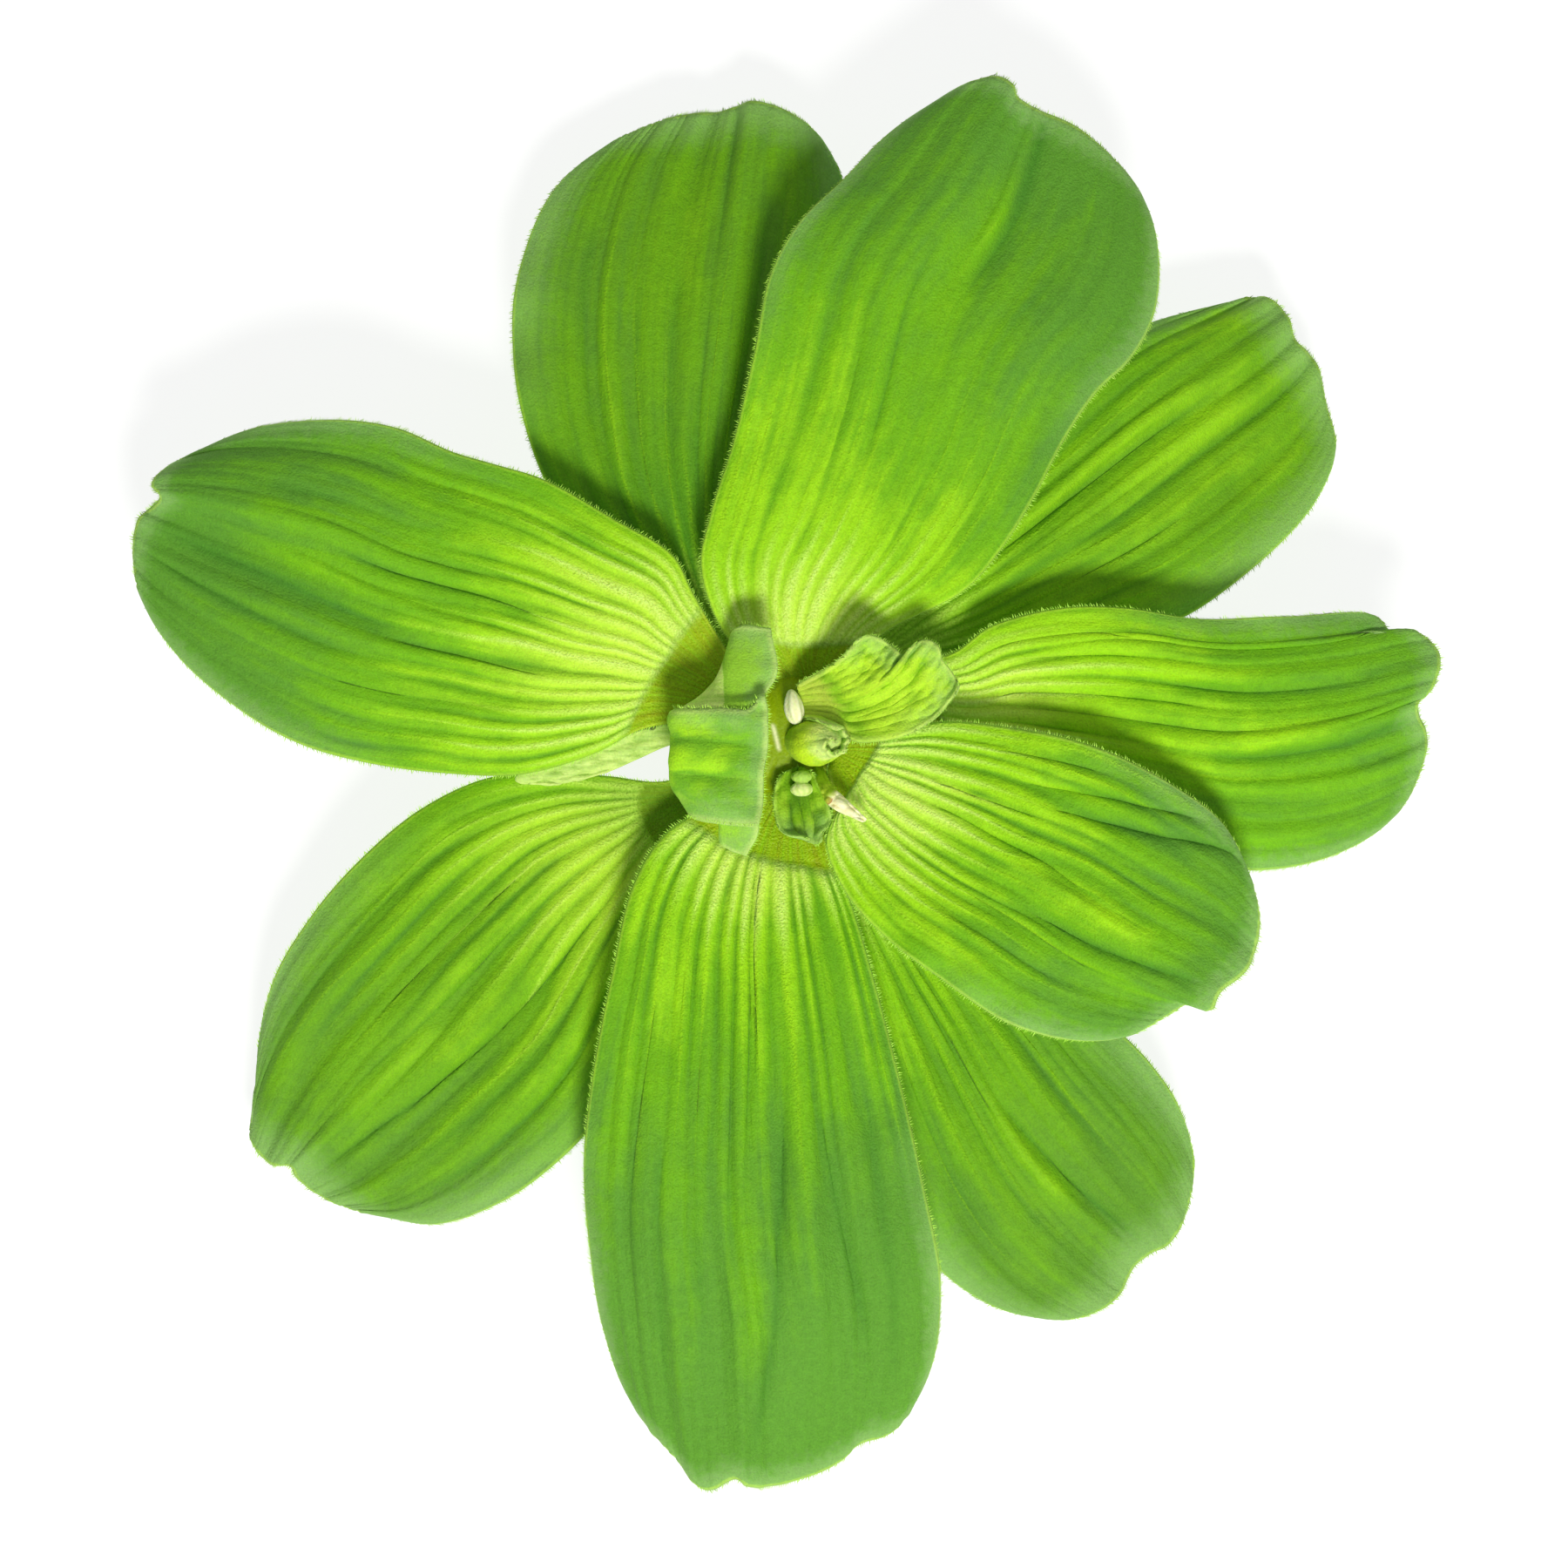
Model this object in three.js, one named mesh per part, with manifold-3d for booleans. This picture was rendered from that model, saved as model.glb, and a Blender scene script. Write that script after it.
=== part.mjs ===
// One rosette of water lettuce, lifted from the water and set down on its own roots.
// Millimetres, +Z up. The origin lies in the flat foot of the root mass, under the middle of the crown.
// +Y points along the big north leaf and +X along the east leaf, as the plant is seen from above.
//
// Four lower leaves spread flat, four upper leaves lie over them, and one young leaf lies over all.
// Round the bud stand two unopened leaves, a cupped bract with its spadix, a white spathe, a withered
// bract and a thin stipule. All of them grow from one crown.

import * as THREE from 'three';
import { mergeVertices } from 'three/addons/utils/BufferGeometryUtils.js';
import Module from 'manifold-3d';

const wasm = await Module();
wasm.setup();

// Driving dimensions
const GAP = 0.3; // clearance between pieces that touch
const ROSETTE_HEIGHT = 10; // the crown's lower end above the surface that the plant rests on
const CROWN_RADIUS = 10;
const CROWN_HEIGHT = 18;
const ROOT_HEIGHT = 14;
const ROOT_TOP_RADIUS = 9;
const ROOT_RADIUS = 20;
const ROOT_CENTRE = [6, 0.5]; // the foot lies to the east, out of sight of the gap between the west leaves
const ROOT_STRANDS = 16; // bundles of strands that show as ridges round the root mass

const PLEATS = 7; // folds across a leaf
const PLEAT_DEPTH = 0.75;
const BLADE_BASE = 3.0; // thickness of a leaf where it leaves the crown
const BLADE_MIDDLE = 1.7;
const BLADE_TIP = 1.1;
const RIM_SHARE = 0.45; // the rim's thickness as a share of the blade's
const CREASE_STEEP = 0.07; // how far a crease reaches on its steep side, as a share of the leaf's width
const CREASE_GENTLE = 0.22;
const LEAF_ROWS = [0, 0.07, 0.15, 0.25, 0.37, 0.5, 0.63, 0.76, 0.87, 0.95, 1]; // shares of a leaf's length

// The big leaves. An outline runs from the crown out along the left side (looking from the crown to the
// tip), over the tip and back along the right side, in millimetres from the crown's axis. The tip gives
// the points where the tip begins, folds and ends. The spine is the height of the middle line above the
// crown's lower end, from base to tip. The cup lifts both edges (base, middle, tip) and the roll lifts
// the left edge towards the tip. The crease is the fold that runs in from the tip's notch: its height,
// and its steep side (1 left, -1 right).
const LEAVES = [
  {
    name: 'leaf_north_northwest',
    layer: 'lower',
    outline: [
      [-6.1, 7.6], [-17.9, 17.4], [-27.3, 25.8], [-35.1, 37.0], [-39.1, 47.9], [-40.7, 60.5],
      [-39.3, 71.4], [-34.7, 82.1], [-27.3, 88.8], [-20.0, 92.2], [-15.3, 93.5], [-9.5, 94.1],
      [-4.8, 95.3], [1.5, 93.2], [6.1, 88.8], [9.0, 81.5], [9.5, 71.0], [7.4, 58.4], [3.2, 45.8],
      [-2.1, 33.2], [-6.3, 21.6], [-3.6, 9.0],
    ],
    tip: [8, 12, 14],
    spine: [8, 9.5, 7.5, 0.5],
    cup: [2.0, 1.0, 1.5],
    roll: -1.0,
    crease: [1.4, 1],
  },
  {
    name: 'leaf_southwest',
    layer: 'lower',
    outline: [
      [-6.3, -8.0], [-15.3, -15.1], [-17.4, -25.6], [-20.0, -38.2], [-23.7, -49.8], [-29.2, -58.4],
      [-35.7, -64.9], [-43.1, -70.1], [-52.5, -73.5], [-60.9, -72.5], [-69.3, -69.9], [-73.7, -66.4],
      [-74.3, -64.7], [-77.5, -64.3], [-80.6, -60.5], [-79.6, -55.0], [-79.4, -46.6], [-76.7, -36.5],
      [-71.4, -27.7], [-64.1, -19.3], [-54.6, -11.3], [-45.2, -6.7], [-35.7, -5.5], [-26.3, -6.3],
      [-17.9, -7.1], [-7.8, -3.6],
    ],
    tip: [9, 12, 15],
    spine: [8, 8.5, 5.5, -2.0],
    cup: [2.0, 1.0, 0.5],
    roll: -1.0,
    crease: [2.0, 1],
  },
  {
    name: 'leaf_southeast',
    layer: 'lower',
    outline: [
      [6.2, -7.6], [15.8, -17.2], [26.3, -24.6], [37.8, -33.0], [47.3, -42.0], [54.6, -49.1],
      [59.4, -56.3], [61.5, -63.8], [60.5, -71.4], [57.8, -76.4], [55.0, -77.9], [52.5, -80.2],
      [50.2, -84.6], [45.2, -87.6], [37.8, -87.8], [30.5, -85.5], [22.9, -79.8], [17.9, -71.8],
      [13.7, -59.2], [10.5, -44.5], [7.4, -28.8], [3.2, -9.5],
    ],
    tip: [7, 10, 14],
    spine: [8, 8.5, 5.0, -2.5],
    cup: [2.0, 0.5, 0.5],
    roll: 1.0,
    crease: [1.6, -1],
  },
  {
    name: 'leaf_northeast',
    layer: 'lower',
    outline: [
      [5.0, 8.4], [12.6, 17.4], [18.9, 27.9], [27.3, 40.5], [36.8, 52.1], [47.3, 59.2], [55.7, 62.4],
      [65.1, 64.9], [72.5, 65.9], [75.4, 63.0], [76.7, 59.4], [79.8, 56.3], [81.5, 50.4], [83.0, 43.3],
      [80.0, 35.7], [74.6, 29.4], [66.2, 22.3], [58.8, 17.6], [47.3, 13.9], [34.7, 11.3], [22.1, 10.1],
      [7.4, 6.3],
    ],
    tip: [7, 10, 13],
    spine: [8, 9.5, 7.0, 0.0],
    cup: [2.0, 0.5, 0.5],
    roll: 1.0,
    crease: [2.0, -1],
  },
  {
    name: 'leaf_west',
    layer: 'upper',
    outline: [
      [-9.5, 2.7], [-20.8, 1.3], [-28.4, -2.5], [-38.9, -5.5], [-51.5, -5.3], [-62.0, -3.8],
      [-72.5, -0.8], [-81.9, 4.6], [-90.3, 11.8], [-95.6, 19.5], [-97.0, 26.5], [-96.0, 32.1],
      [-92.4, 35.3], [-93.7, 37.2], [-92.2, 39.3], [-87.2, 42.4], [-78.8, 45.6], [-67.2, 46.6],
      [-57.8, 45.4], [-49.4, 41.8], [-43.1, 39.9], [-35.7, 37.6], [-25.2, 31.7], [-16.8, 26.5],
      [-13.9, 21.0], [-6.0, 7.5],
    ],
    tip: [9, 12, 15],
    spine: [13.5, 17.5, 18.5, 13.0],
    cup: [2.0, -1.0, -2.0],
    roll: -1.5,
    crease: [2.4, 1],
  },
  {
    name: 'leaf_south',
    layer: 'upper',
    outline: [
      [3.6, -8.8], [6.1, -16.8], [9.5, -25.0], [13.0, -36.5], [17.0, -51.9], [20.4, -67.2],
      [22.9, -80.6], [22.3, -91.8], [19.5, -99.5], [15.3, -104.2], [11.3, -105.4], [7.8, -108.4],
      [0.0, -111.3], [-5.3, -111.5], [-7.4, -110.3], [-12.0, -112.1], [-16.4, -107.5], [-23.1, -99.5],
      [-27.1, -88.6], [-29.0, -76.0], [-29.8, -64.5], [-28.4, -50.8], [-25.4, -35.1], [-22.1, -21.8],
      [-17.0, -14.3], [-4.8, -7.8],
    ],
    tip: [8, 14, 17],
    spine: [13.5, 17.5, 17.5, 9.5],
    cup: [2.0, -1.0, -2.0],
    roll: 0.5,
    crease: [1.8, 1],
  },
  {
    name: 'leaf_east',
    layer: 'upper',
    outline: [
      [7.4, 5.2], [17.9, 10.1], [25.2, 12.2], [30.5, 16.0], [41.0, 18.7], [50.4, 18.7], [60.9, 17.2],
      [74.6, 17.6], [87.6, 17.9], [90.3, 15.1], [93.5, 15.5], [96.8, 12.2], [95.8, 7.1], [93.5, 4.4],
      [95.3, -0.4], [94.1, -6.3], [90.3, -12.6], [83.0, -17.2], [74.6, -19.5], [65.1, -19.7],
      [53.6, -17.6], [41.0, -13.0], [29.4, -6.7], [20.0, -1.5], [9.0, 0.6],
    ],
    tip: [8, 13, 16],
    spine: [13.5, 16.5, 16.5, 12.5],
    cup: [1.5, -1.0, -1.5],
    roll: 1.5,
    crease: [2.6, -1],
  },
  {
    name: 'leaf_north',
    layer: 'upper',
    outline: [
      [0.6, 7.6], [-8.2, 14.5], [-12.2, 24.8], [-10.7, 33.2], [-7.4, 43.7], [-4.4, 56.3], [-2.1, 67.8],
      [2.1, 75.6], [8.4, 82.1], [15.3, 89.3], [22.1, 94.1], [27.7, 96.8], [31.3, 97.4], [33.6, 96.0],
      [34.4, 94.1], [43.1, 90.1], [48.7, 85.7], [53.6, 79.4], [55.4, 71.4], [54.6, 62.6], [51.0, 55.9],
      [45.8, 50.8], [41.0, 43.7], [36.8, 35.7], [31.9, 27.9], [26.3, 21.6], [14.1, 15.1], [6.0, 7.4],
    ],
    tip: [10, 14, 17],
    spine: [13.5, 18.5, 20.0, 14.5],
    cup: [2.0, -1.0, -2.0],
    roll: 1.0,
    crease: [2.2, -1],
  },
  {
    name: 'leaf_east_southeast',
    layer: 'rising',
    outline: [
      [8.6, -0.8], [15.3, 0.4], [23.1, 1.7], [33.6, 0.8], [45.2, -1.9], [55.7, -6.9], [64.1, -13.0],
      [67.8, -20.0], [69.3, -27.3], [67.4, -34.0], [63.2, -37.6], [62.0, -40.1], [59.4, -39.1],
      [55.7, -41.2], [49.8, -44.3], [42.0, -44.7], [32.6, -42.0], [23.1, -35.7], [14.7, -29.4],
      [9.0, -22.9], [6.2, -15.8], [7.2, -11.4], [7.2, -8.4], [6.6, -5.4],
    ],
    tip: [7, 11, 14],
    spine: [17.5, 22.5, 25.5, 25.5],
    cup: [1.5, 0.0, -1.5],
    roll: 0.5,
    crease: [2.6, -1],
  },
];

const COLOURS = {
  lower: 0x5f9a1e,
  upper: 0x6fb320,
  rising: 0x7fc22a,
  young: 0x9ccc45,
  crown: 0xa6a82a,
  roots: 0x6e5a3a,
  white: 0xf0f0d8,
  membrane: 0xb3c97a,
};

const material = (colour, roughness = 0.8) =>
  new THREE.MeshStandardMaterial({ color: colour, roughness, metalness: 0 });

// Evenly spaced shares from 0 to 1.
const even = (count) => Array.from({ length: count + 1 }, (_, n) => n / count);

// A smooth value between evenly spaced ones: a Catmull-Rom line in one dimension.
function along(values, t) {
  const last = values.length - 1;
  const place = Math.min(Math.max(t, 0), 1) * last;
  const i = Math.min(Math.floor(place), last - 1);
  const w = place - i;
  const before = i > 0 ? values[i - 1] : 2 * values[0] - values[1];
  const after = i < last - 1 ? values[i + 2] : 2 * values[last] - values[last - 1];
  const slopeIn = (values[i + 1] - before) / 2;
  const slopeOut = (after - values[i]) / 2;
  return (
    (2 * w ** 3 - 3 * w ** 2 + 1) * values[i] +
    (w ** 3 - 2 * w ** 2 + w) * slopeIn +
    (3 * w ** 2 - 2 * w ** 3) * values[i + 1] +
    (w ** 3 - w ** 2) * slopeOut
  );
}

function smoothstep(low, high, x) {
  const w = Math.min(Math.max((x - low) / (high - low), 0), 1);
  return w * w * (3 - 2 * w);
}

const lengthsAlong = (line) =>
  line.reduce((sums, point, i) => [...sums, i ? sums[i - 1] + point.distanceTo(line[i - 1]) : 0], []);

// Points at given shares of a fine line's length.
function pointsAt(line, shares) {
  const lengths = lengthsAlong(line);
  return shares.map((share) => {
    const target = share * lengths[line.length - 1];
    const k = Math.max(1, lengths.findIndex((length) => length >= target - 1e-6));
    const w = (target - lengths[k - 1]) / (lengths[k] - lengths[k - 1]);
    return line[k - 1].clone().lerp(line[k], w);
  });
}

// The plan of a blade: a grid of points inside its outline, with rows from base to tip, and columns from
// the right edge to the left one that follow the veins. One column ends in the tip's notch.
function planGrid({ outline, tip: [tipStart, notch, tipEnd] }, rowShares, columns) {
  const points = outline.map(([x, y]) => new THREE.Vector3(x, y, 0));
  const curve = new THREE.CatmullRomCurve3(points, false, 'centripetal');
  const STEPS = 10; // fine steps between two points of the outline
  const stretch = (from, to) =>
    even(Math.abs(to - from) * STEPS).map((share) =>
      curve.getPoint((from + (to - from) * share) / (points.length - 1)),
    );
  const left = pointsAt(stretch(0, tipStart), rowShares);
  const right = pointsAt(stretch(points.length - 1, tipEnd), rowShares);
  const rightTip = stretch(tipEnd, notch);
  const leftTip = stretch(notch, tipStart);
  const [rightLength, leftLength] = [rightTip, leftTip].map((line) => lengthsAlong(line).pop());
  const notchColumn = Math.round((columns * rightLength) / (rightLength + leftLength));
  const tip = [
    ...pointsAt(rightTip, even(notchColumn)),
    ...pointsAt(leftTip, even(columns - notchColumn)).slice(1),
  ];
  const grid = rowShares.map((t, i) =>
    even(columns).map((s, j) => {
      const sides = right[i].clone().lerp(left[i], s);
      const base = right[0].clone().lerp(left[0], s);
      const ends = base.clone().lerp(tip[j], t);
      const corners = base.lerp(tip[0].clone().lerp(tip[columns], s), t);
      return sides.add(ends).sub(corners);
    }),
  );
  return { grid, notchShare: notchColumn / columns };
}

// A closed blade: a surface grid given a thickness along its own normals, with a rim round it.
function bladeGeometry(grid, thicknessAt) {
  const rows = grid.length - 1;
  const columns = grid[0].length - 1;
  const normalAt = (i, j) => {
    const out = grid[Math.min(i + 1, rows)][j].clone().sub(grid[Math.max(i - 1, 0)][j]);
    const across = grid[i][Math.min(j + 1, columns)].clone().sub(grid[i][Math.max(j - 1, 0)]);
    return out.cross(across).normalize();
  };
  const top = [];
  const bottom = [];
  grid.forEach((row, i) =>
    row.forEach((point, j) => {
      const half = normalAt(i, j).multiplyScalar(thicknessAt(j / columns, i / rows) / 2);
      top.push(point.clone().add(half));
      bottom.push(point.clone().sub(half));
    }),
  );
  const count = top.length;
  const at = (i, j) => i * (columns + 1) + j;
  const index = [];
  const quad = (a, b, c, d) => index.push(a, b, c, a, c, d);
  for (let i = 0; i < rows; i += 1) {
    for (let j = 0; j < columns; j += 1) {
      quad(at(i, j), at(i + 1, j), at(i + 1, j + 1), at(i, j + 1));
      quad(count + at(i, j + 1), count + at(i + 1, j + 1), count + at(i + 1, j), count + at(i, j));
    }
  }
  const border = [];
  for (let i = 0; i < rows; i += 1) border.push(at(i, 0));
  for (let j = 0; j < columns; j += 1) border.push(at(rows, j));
  for (let i = rows; i > 0; i -= 1) border.push(at(i, columns));
  for (let j = columns; j > 0; j -= 1) border.push(at(0, j));
  border.forEach((a, n) => {
    const b = border[(n + 1) % border.length];
    quad(a, count + a, count + b, b);
  });
  const geometry = new THREE.BufferGeometry();
  geometry.setFromPoints([...top, ...bottom]);
  geometry.setIndex(index);
  return geometry;
}

// How high the blade of a big leaf stands at a place across it (s) and along it (t).
function bladeHeight(leaf, notchShare, s, t) {
  const across = 2 * s - 1;
  const cup = along(leaf.cup, t) * across ** 2;
  const roll = leaf.roll * across * t;
  const fade = smoothstep(0, 0.12, t) * (0.25 + 0.75 * Math.exp(-t / 0.4));
  const pleat = PLEAT_DEPTH * fade * Math.cos(2 * Math.PI * PLEATS * s);
  const [height, steepSide] = leaf.crease;
  const reach = (s - notchShare) * steepSide > 0 ? CREASE_STEEP : CREASE_GENTLE;
  const crease = height * smoothstep(0.45, 1, t) * Math.exp(-(((s - notchShare) / reach) ** 2));
  return along(leaf.spine, t) + cup + roll + pleat + crease;
}

function leafGeometry(leaf) {
  const { grid, notchShare } = planGrid(leaf, LEAF_ROWS, PLEATS * 2);
  grid.forEach((row, i) =>
    row.forEach((point, j) => point.setZ(bladeHeight(leaf, notchShare, j / (PLEATS * 2), LEAF_ROWS[i]))),
  );
  return bladeGeometry(grid, (s, t) => {
    const middle = along([BLADE_BASE, BLADE_MIDDLE, BLADE_MIDDLE, BLADE_TIP], t);
    return middle * (1 - (1 - RIM_SHARE) * (2 * s - 1) ** 4);
  });
}

function solidOf(geometry) {
  const bare = geometry.clone();
  bare.deleteAttribute('normal');
  bare.deleteAttribute('uv');
  const merged = mergeVertices(bare, 1e-4);
  return new wasm.Manifold(
    new wasm.Mesh({
      numProp: 3,
      vertProperties: merged.attributes.position.array,
      triVerts: new Uint32Array(merged.index.array),
    }),
  );
}

function geometryOf(solid) {
  const { vertProperties, triVerts } = solid.getMesh();
  const geometry = new THREE.BufferGeometry();
  geometry.setAttribute('position', new THREE.BufferAttribute(new Float32Array(vertProperties), 3));
  geometry.setIndex(new THREE.BufferAttribute(new Uint32Array(triVerts), 1));
  geometry.computeVertexNormals();
  return geometry;
}

// The crown: a short stout stem with a flat shoulder on top, round which the youngest pieces stand.
// It is grown by a clearance where it cuts its neighbours.
function crownGeometry(clearance = 0) {
  const profile = [
    [0, 0], [0.62, 0], [0.9, 0.14], [1, 0.35], [1, 0.62], [0.92, 0.8], [0.8, 0.9], [0.58, 0.97],
    [0.3, 1], [0, 1],
  ];
  const points = profile.map(([r, h]) => {
    const lift = h === 0 ? -clearance : h > 0.85 ? clearance : 0;
    return new THREE.Vector2(r && r * CROWN_RADIUS + clearance, h * CROWN_HEIGHT + lift);
  });
  return new THREE.LatheGeometry(points, 24).rotateX(Math.PI / 2);
}

const crownCutter = solidOf(crownGeometry(GAP));
const cutByCrown = (geometry) => geometryOf(solidOf(geometry).subtract(crownCutter));

// The root mass: strands that hang from the crown and are pressed out by the surface they stand on.
function rootGeometry() {
  const columns = ROOT_STRANDS * 2;
  const RIDGE = 0.05; // how far a bundle stands out, as a share of the radius
  const profile = [
    [0, 1], [0.18, 0.93], [0.42, 0.72], [0.7, 0.42], [0.92, 0.16], [1, 0.06], [0.97, 0],
  ];
  const vertices = [];
  profile.forEach(([out, height]) => {
    even(columns).slice(1).forEach((share, k) => {
      const angle = 2 * Math.PI * share;
      const lobes = 0.06 * Math.sin(3 * angle + 0.6) + 0.04 * Math.sin(7 * angle + 2.1);
      const ridge = (k % 2 ? -RIDGE : RIDGE) * (0.4 + out);
      const reach = ROOT_TOP_RADIUS + (ROOT_RADIUS - ROOT_TOP_RADIUS) * out;
      const radius = reach * (1 + ridge + lobes * out);
      vertices.push(
        new THREE.Vector3(
          ROOT_CENTRE[0] * out + radius * Math.cos(angle),
          ROOT_CENTRE[1] * out + radius * Math.sin(angle),
          height * ROOT_HEIGHT,
        ),
      );
    });
  });
  const index = [];
  for (let i = 0; i < profile.length - 1; i += 1) {
    for (let k = 0; k < columns; k += 1) {
      const [a, b] = [i * columns + k, i * columns + ((k + 1) % columns)];
      const [c, d] = [a + columns, b + columns];
      index.push(a, c, d, a, d, b);
    }
  }
  const flat = (start) => vertices.slice(start, start + columns).map(({ x, y }) => new THREE.Vector2(x, y));
  const foot = (profile.length - 1) * columns;
  THREE.ShapeUtils.triangulateShape(flat(0), []).forEach(([a, b, c]) => index.push(a, b, c));
  THREE.ShapeUtils.triangulateShape(flat(foot), []).forEach(([a, b, c]) =>
    index.push(foot + a, foot + c, foot + b),
  );
  const geometry = new THREE.BufferGeometry();
  geometry.setFromPoints(vertices);
  geometry.setIndex(index);
  return geometry;
}

// A smooth grid through a small net of control points, given as lines from the crown outwards.
function netGrid(net, rows, columns) {
  const coordinate = (c, s, t) => along(net.map((line) => along(line.map((point) => point[c]), t)), s);
  return even(rows).map((t) =>
    even(columns).map((s) => new THREE.Vector3(coordinate(0, s, t), coordinate(1, s, t), coordinate(2, s, t))),
  );
}

// A grid over the plan of a small piece, raised to a height at each place.
function raisedGrid(piece, rows, columns, heightAt) {
  const { grid } = planGrid(piece, even(rows), columns);
  grid.forEach((row, i) => row.forEach((point, j) => point.setZ(heightAt(j / columns, i / rows))));
  return grid;
}

// The folded young leaf at the west of the crown stands up and curls in over the bud, so its back shows
// from above. Its lines run from the crown out, up and over to the margin, and lie in order from the
// south lobe to the north lobe, which passes under the south one.
const FOLDED_LEAF = [
  [[-6.6, -4.6, 14.5], [-8.4, -11.5, 19.5], [-9.1, -16.2, 23.5], [-5.8, -17.6, 25.0]],
  [[-7.0, -4.0, 14.5], [-12.4, -9.5, 19.5], [-13.2, -12.4, 24.5], [-3.8, -13.4, 27.5]],
  [[-7.4, -3.2, 14.5], [-15.0, -5.0, 19.5], [-16.0, -5.6, 25.5], [-3.3, -6.0, 28.0]],
  [[-7.6, -2.4, 14.5], [-15.4, -0.6, 19.5], [-16.4, -0.4, 26.0], [-2.6, -0.2, 28.5]],
  [[-7.6, -1.8, 14.5], [-14.8, 2.6, 19.5], [-16.0, 3.9, 25.5], [-2.8, 5.2, 28.0]],
  [[-7.2, -1.2, 14.5], [-11.4, 5.4, 18.5], [-10.8, 6.2, 22.5], [-3.6, 5.6, 25.0]],
  [[-7.0, -0.6, 14.5], [-9.0, 8.0, 18.5], [-8.8, 9.6, 23.0], [-1.4, 9.4, 25.5]],
  [[-6.6, 0.0, 14.5], [-8.0, 11.5, 18.5], [-7.2, 15.6, 22.5], [-2.4, 15.4, 24.5]],
];

// The crumpled young leaf, north-east of the bud.
const CRUMPLED_LEAF = {
  outline: [
    [3.4, 6.4], [9.7, 12.4], [12.6, 14.9], [15.8, 12.0], [17.4, 10.7], [18.1, 13.0], [20.6, 14.5],
    [22.9, 12.6], [23.3, 10.3], [25.4, 7.6], [23.7, 4.0], [21.6, 1.5], [16.6, -0.8], [12.2, -0.6],
    [8.8, 2.4], [6.4, 3.6],
  ],
  tip: [2, 4, 10],
};

function crumpledHeight(s, t) {
  const rise = along([17.0, 21.5, 24.5, 25.5], t);
  const fold = 1.4 * t * Math.sin(9.5 * s + 4.0 * t);
  const wrinkle = 0.7 * t * Math.cos(17.0 * s - 6.0 * t + 1.0);
  return rise + 1.5 * (2 * s - 1) ** 2 * (1 - t) + fold + wrinkle;
}

// The rolled bud: an unopened leaf wound round itself, leaning to the east with its mouth open.
const BUD_FOOT = new THREE.Vector3(2.0, 0.2, 15.5);
const BUD_MOUTH = new THREE.Vector3(7.2, -1.4, 25.5);
const BUD_TURNS = 0.86;

function budPoint(s, t) {
  const angle = 2 * Math.PI * BUD_TURNS * (s - 0.5) + 2.4;
  const radius = 1.5 + 1.2 * smoothstep(0, 0.8, t) - 0.3 * smoothstep(0.85, 1, t);
  const middle = BUD_FOOT.clone().lerp(BUD_MOUTH, t);
  const tilt = 0.5 * t * radius * Math.cos(angle);
  return middle.add(new THREE.Vector3(radius * Math.cos(angle), radius * Math.sin(angle), -tilt));
}

// The cupped bract that holds the spadix, south of the bud.
const CUPPED_BRACT = {
  outline: [
    [2.6, -4.9], [3.8, -6.4], [5.2, -9.0], [5.6, -11.0], [4.9, -13.4], [3.5, -15.2], [0.8, -14.1],
    [-0.9, -11.4], [-1.3, -7.4], [0.2, -5.1],
  ],
  tip: [4, 5, 6],
};

const bractHeight = (s, t) => 18.7 + 1.2 * t + 1.8 * (2 * s - 1) ** 2 * Math.sqrt(t);

// The withered bract: a limp strip from the crown over the edge of the east-south-east leaf.
const WITHERED_BRACT = [
  [[4.2, -5.0, 17.0], [5.6, -8.0, 22.0], [7.6, -11.3, 23.6], [11.0, -13.3, 24.2]],
  [[4.7, -4.7, 17.0], [6.2, -7.5, 22.4], [8.3, -10.4, 24.2], [11.8, -12.4, 24.1]],
  [[5.2, -4.4, 17.0], [6.8, -7.1, 22.0], [9.1, -9.6, 23.7], [11.6, -11.5, 24.2]],
];

// The stipule: a thin membrane that trails from the base of the west leaf along its lower edge.
const STIPULE = {
  outline: [
    [-9.7, -0.4], [-17.0, -1.2], [-22.1, -3.4], [-27.5, -5.7], [-34.7, -7.2], [-40.0, -6.6],
    [-38.4, -5.0], [-29.0, -2.6], [-20.4, 0.6], [-9.4, 2.2],
  ],
  tip: [4, 5, 6],
};

const stipuleHeight = (s, t) => along([10.5, 12.0, 13.0, 13.5], t) - 0.8 * s;

// A small plump body: a sphere stretched to a size and cut flat where it meets the crown.
const plump = (x, y, z, at) => new THREE.SphereGeometry(0.5, 12, 8).scale(x, y, z).translate(...at);

const plant = new THREE.Group();
const rosette = new THREE.Group();
rosette.position.z = ROSETTE_HEIGHT;
plant.add(rosette);

function add(parent, name, geometry, look) {
  const mesh = new THREE.Mesh(geometry, look);
  mesh.name = name;
  parent.add(mesh);
}

const rootCutter = crownCutter.translate([0, 0, ROSETTE_HEIGHT]);
const rootMass = geometryOf(solidOf(rootGeometry()).subtract(rootCutter));
add(plant, 'root_mass', rootMass, material(COLOURS.roots, 0.95));
add(rosette, 'crown', crownGeometry(), material(COLOURS.crown, 0.6));

for (const leaf of LEAVES) {
  add(rosette, leaf.name, cutByCrown(leafGeometry(leaf)), material(COLOURS[leaf.layer]));
}

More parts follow.
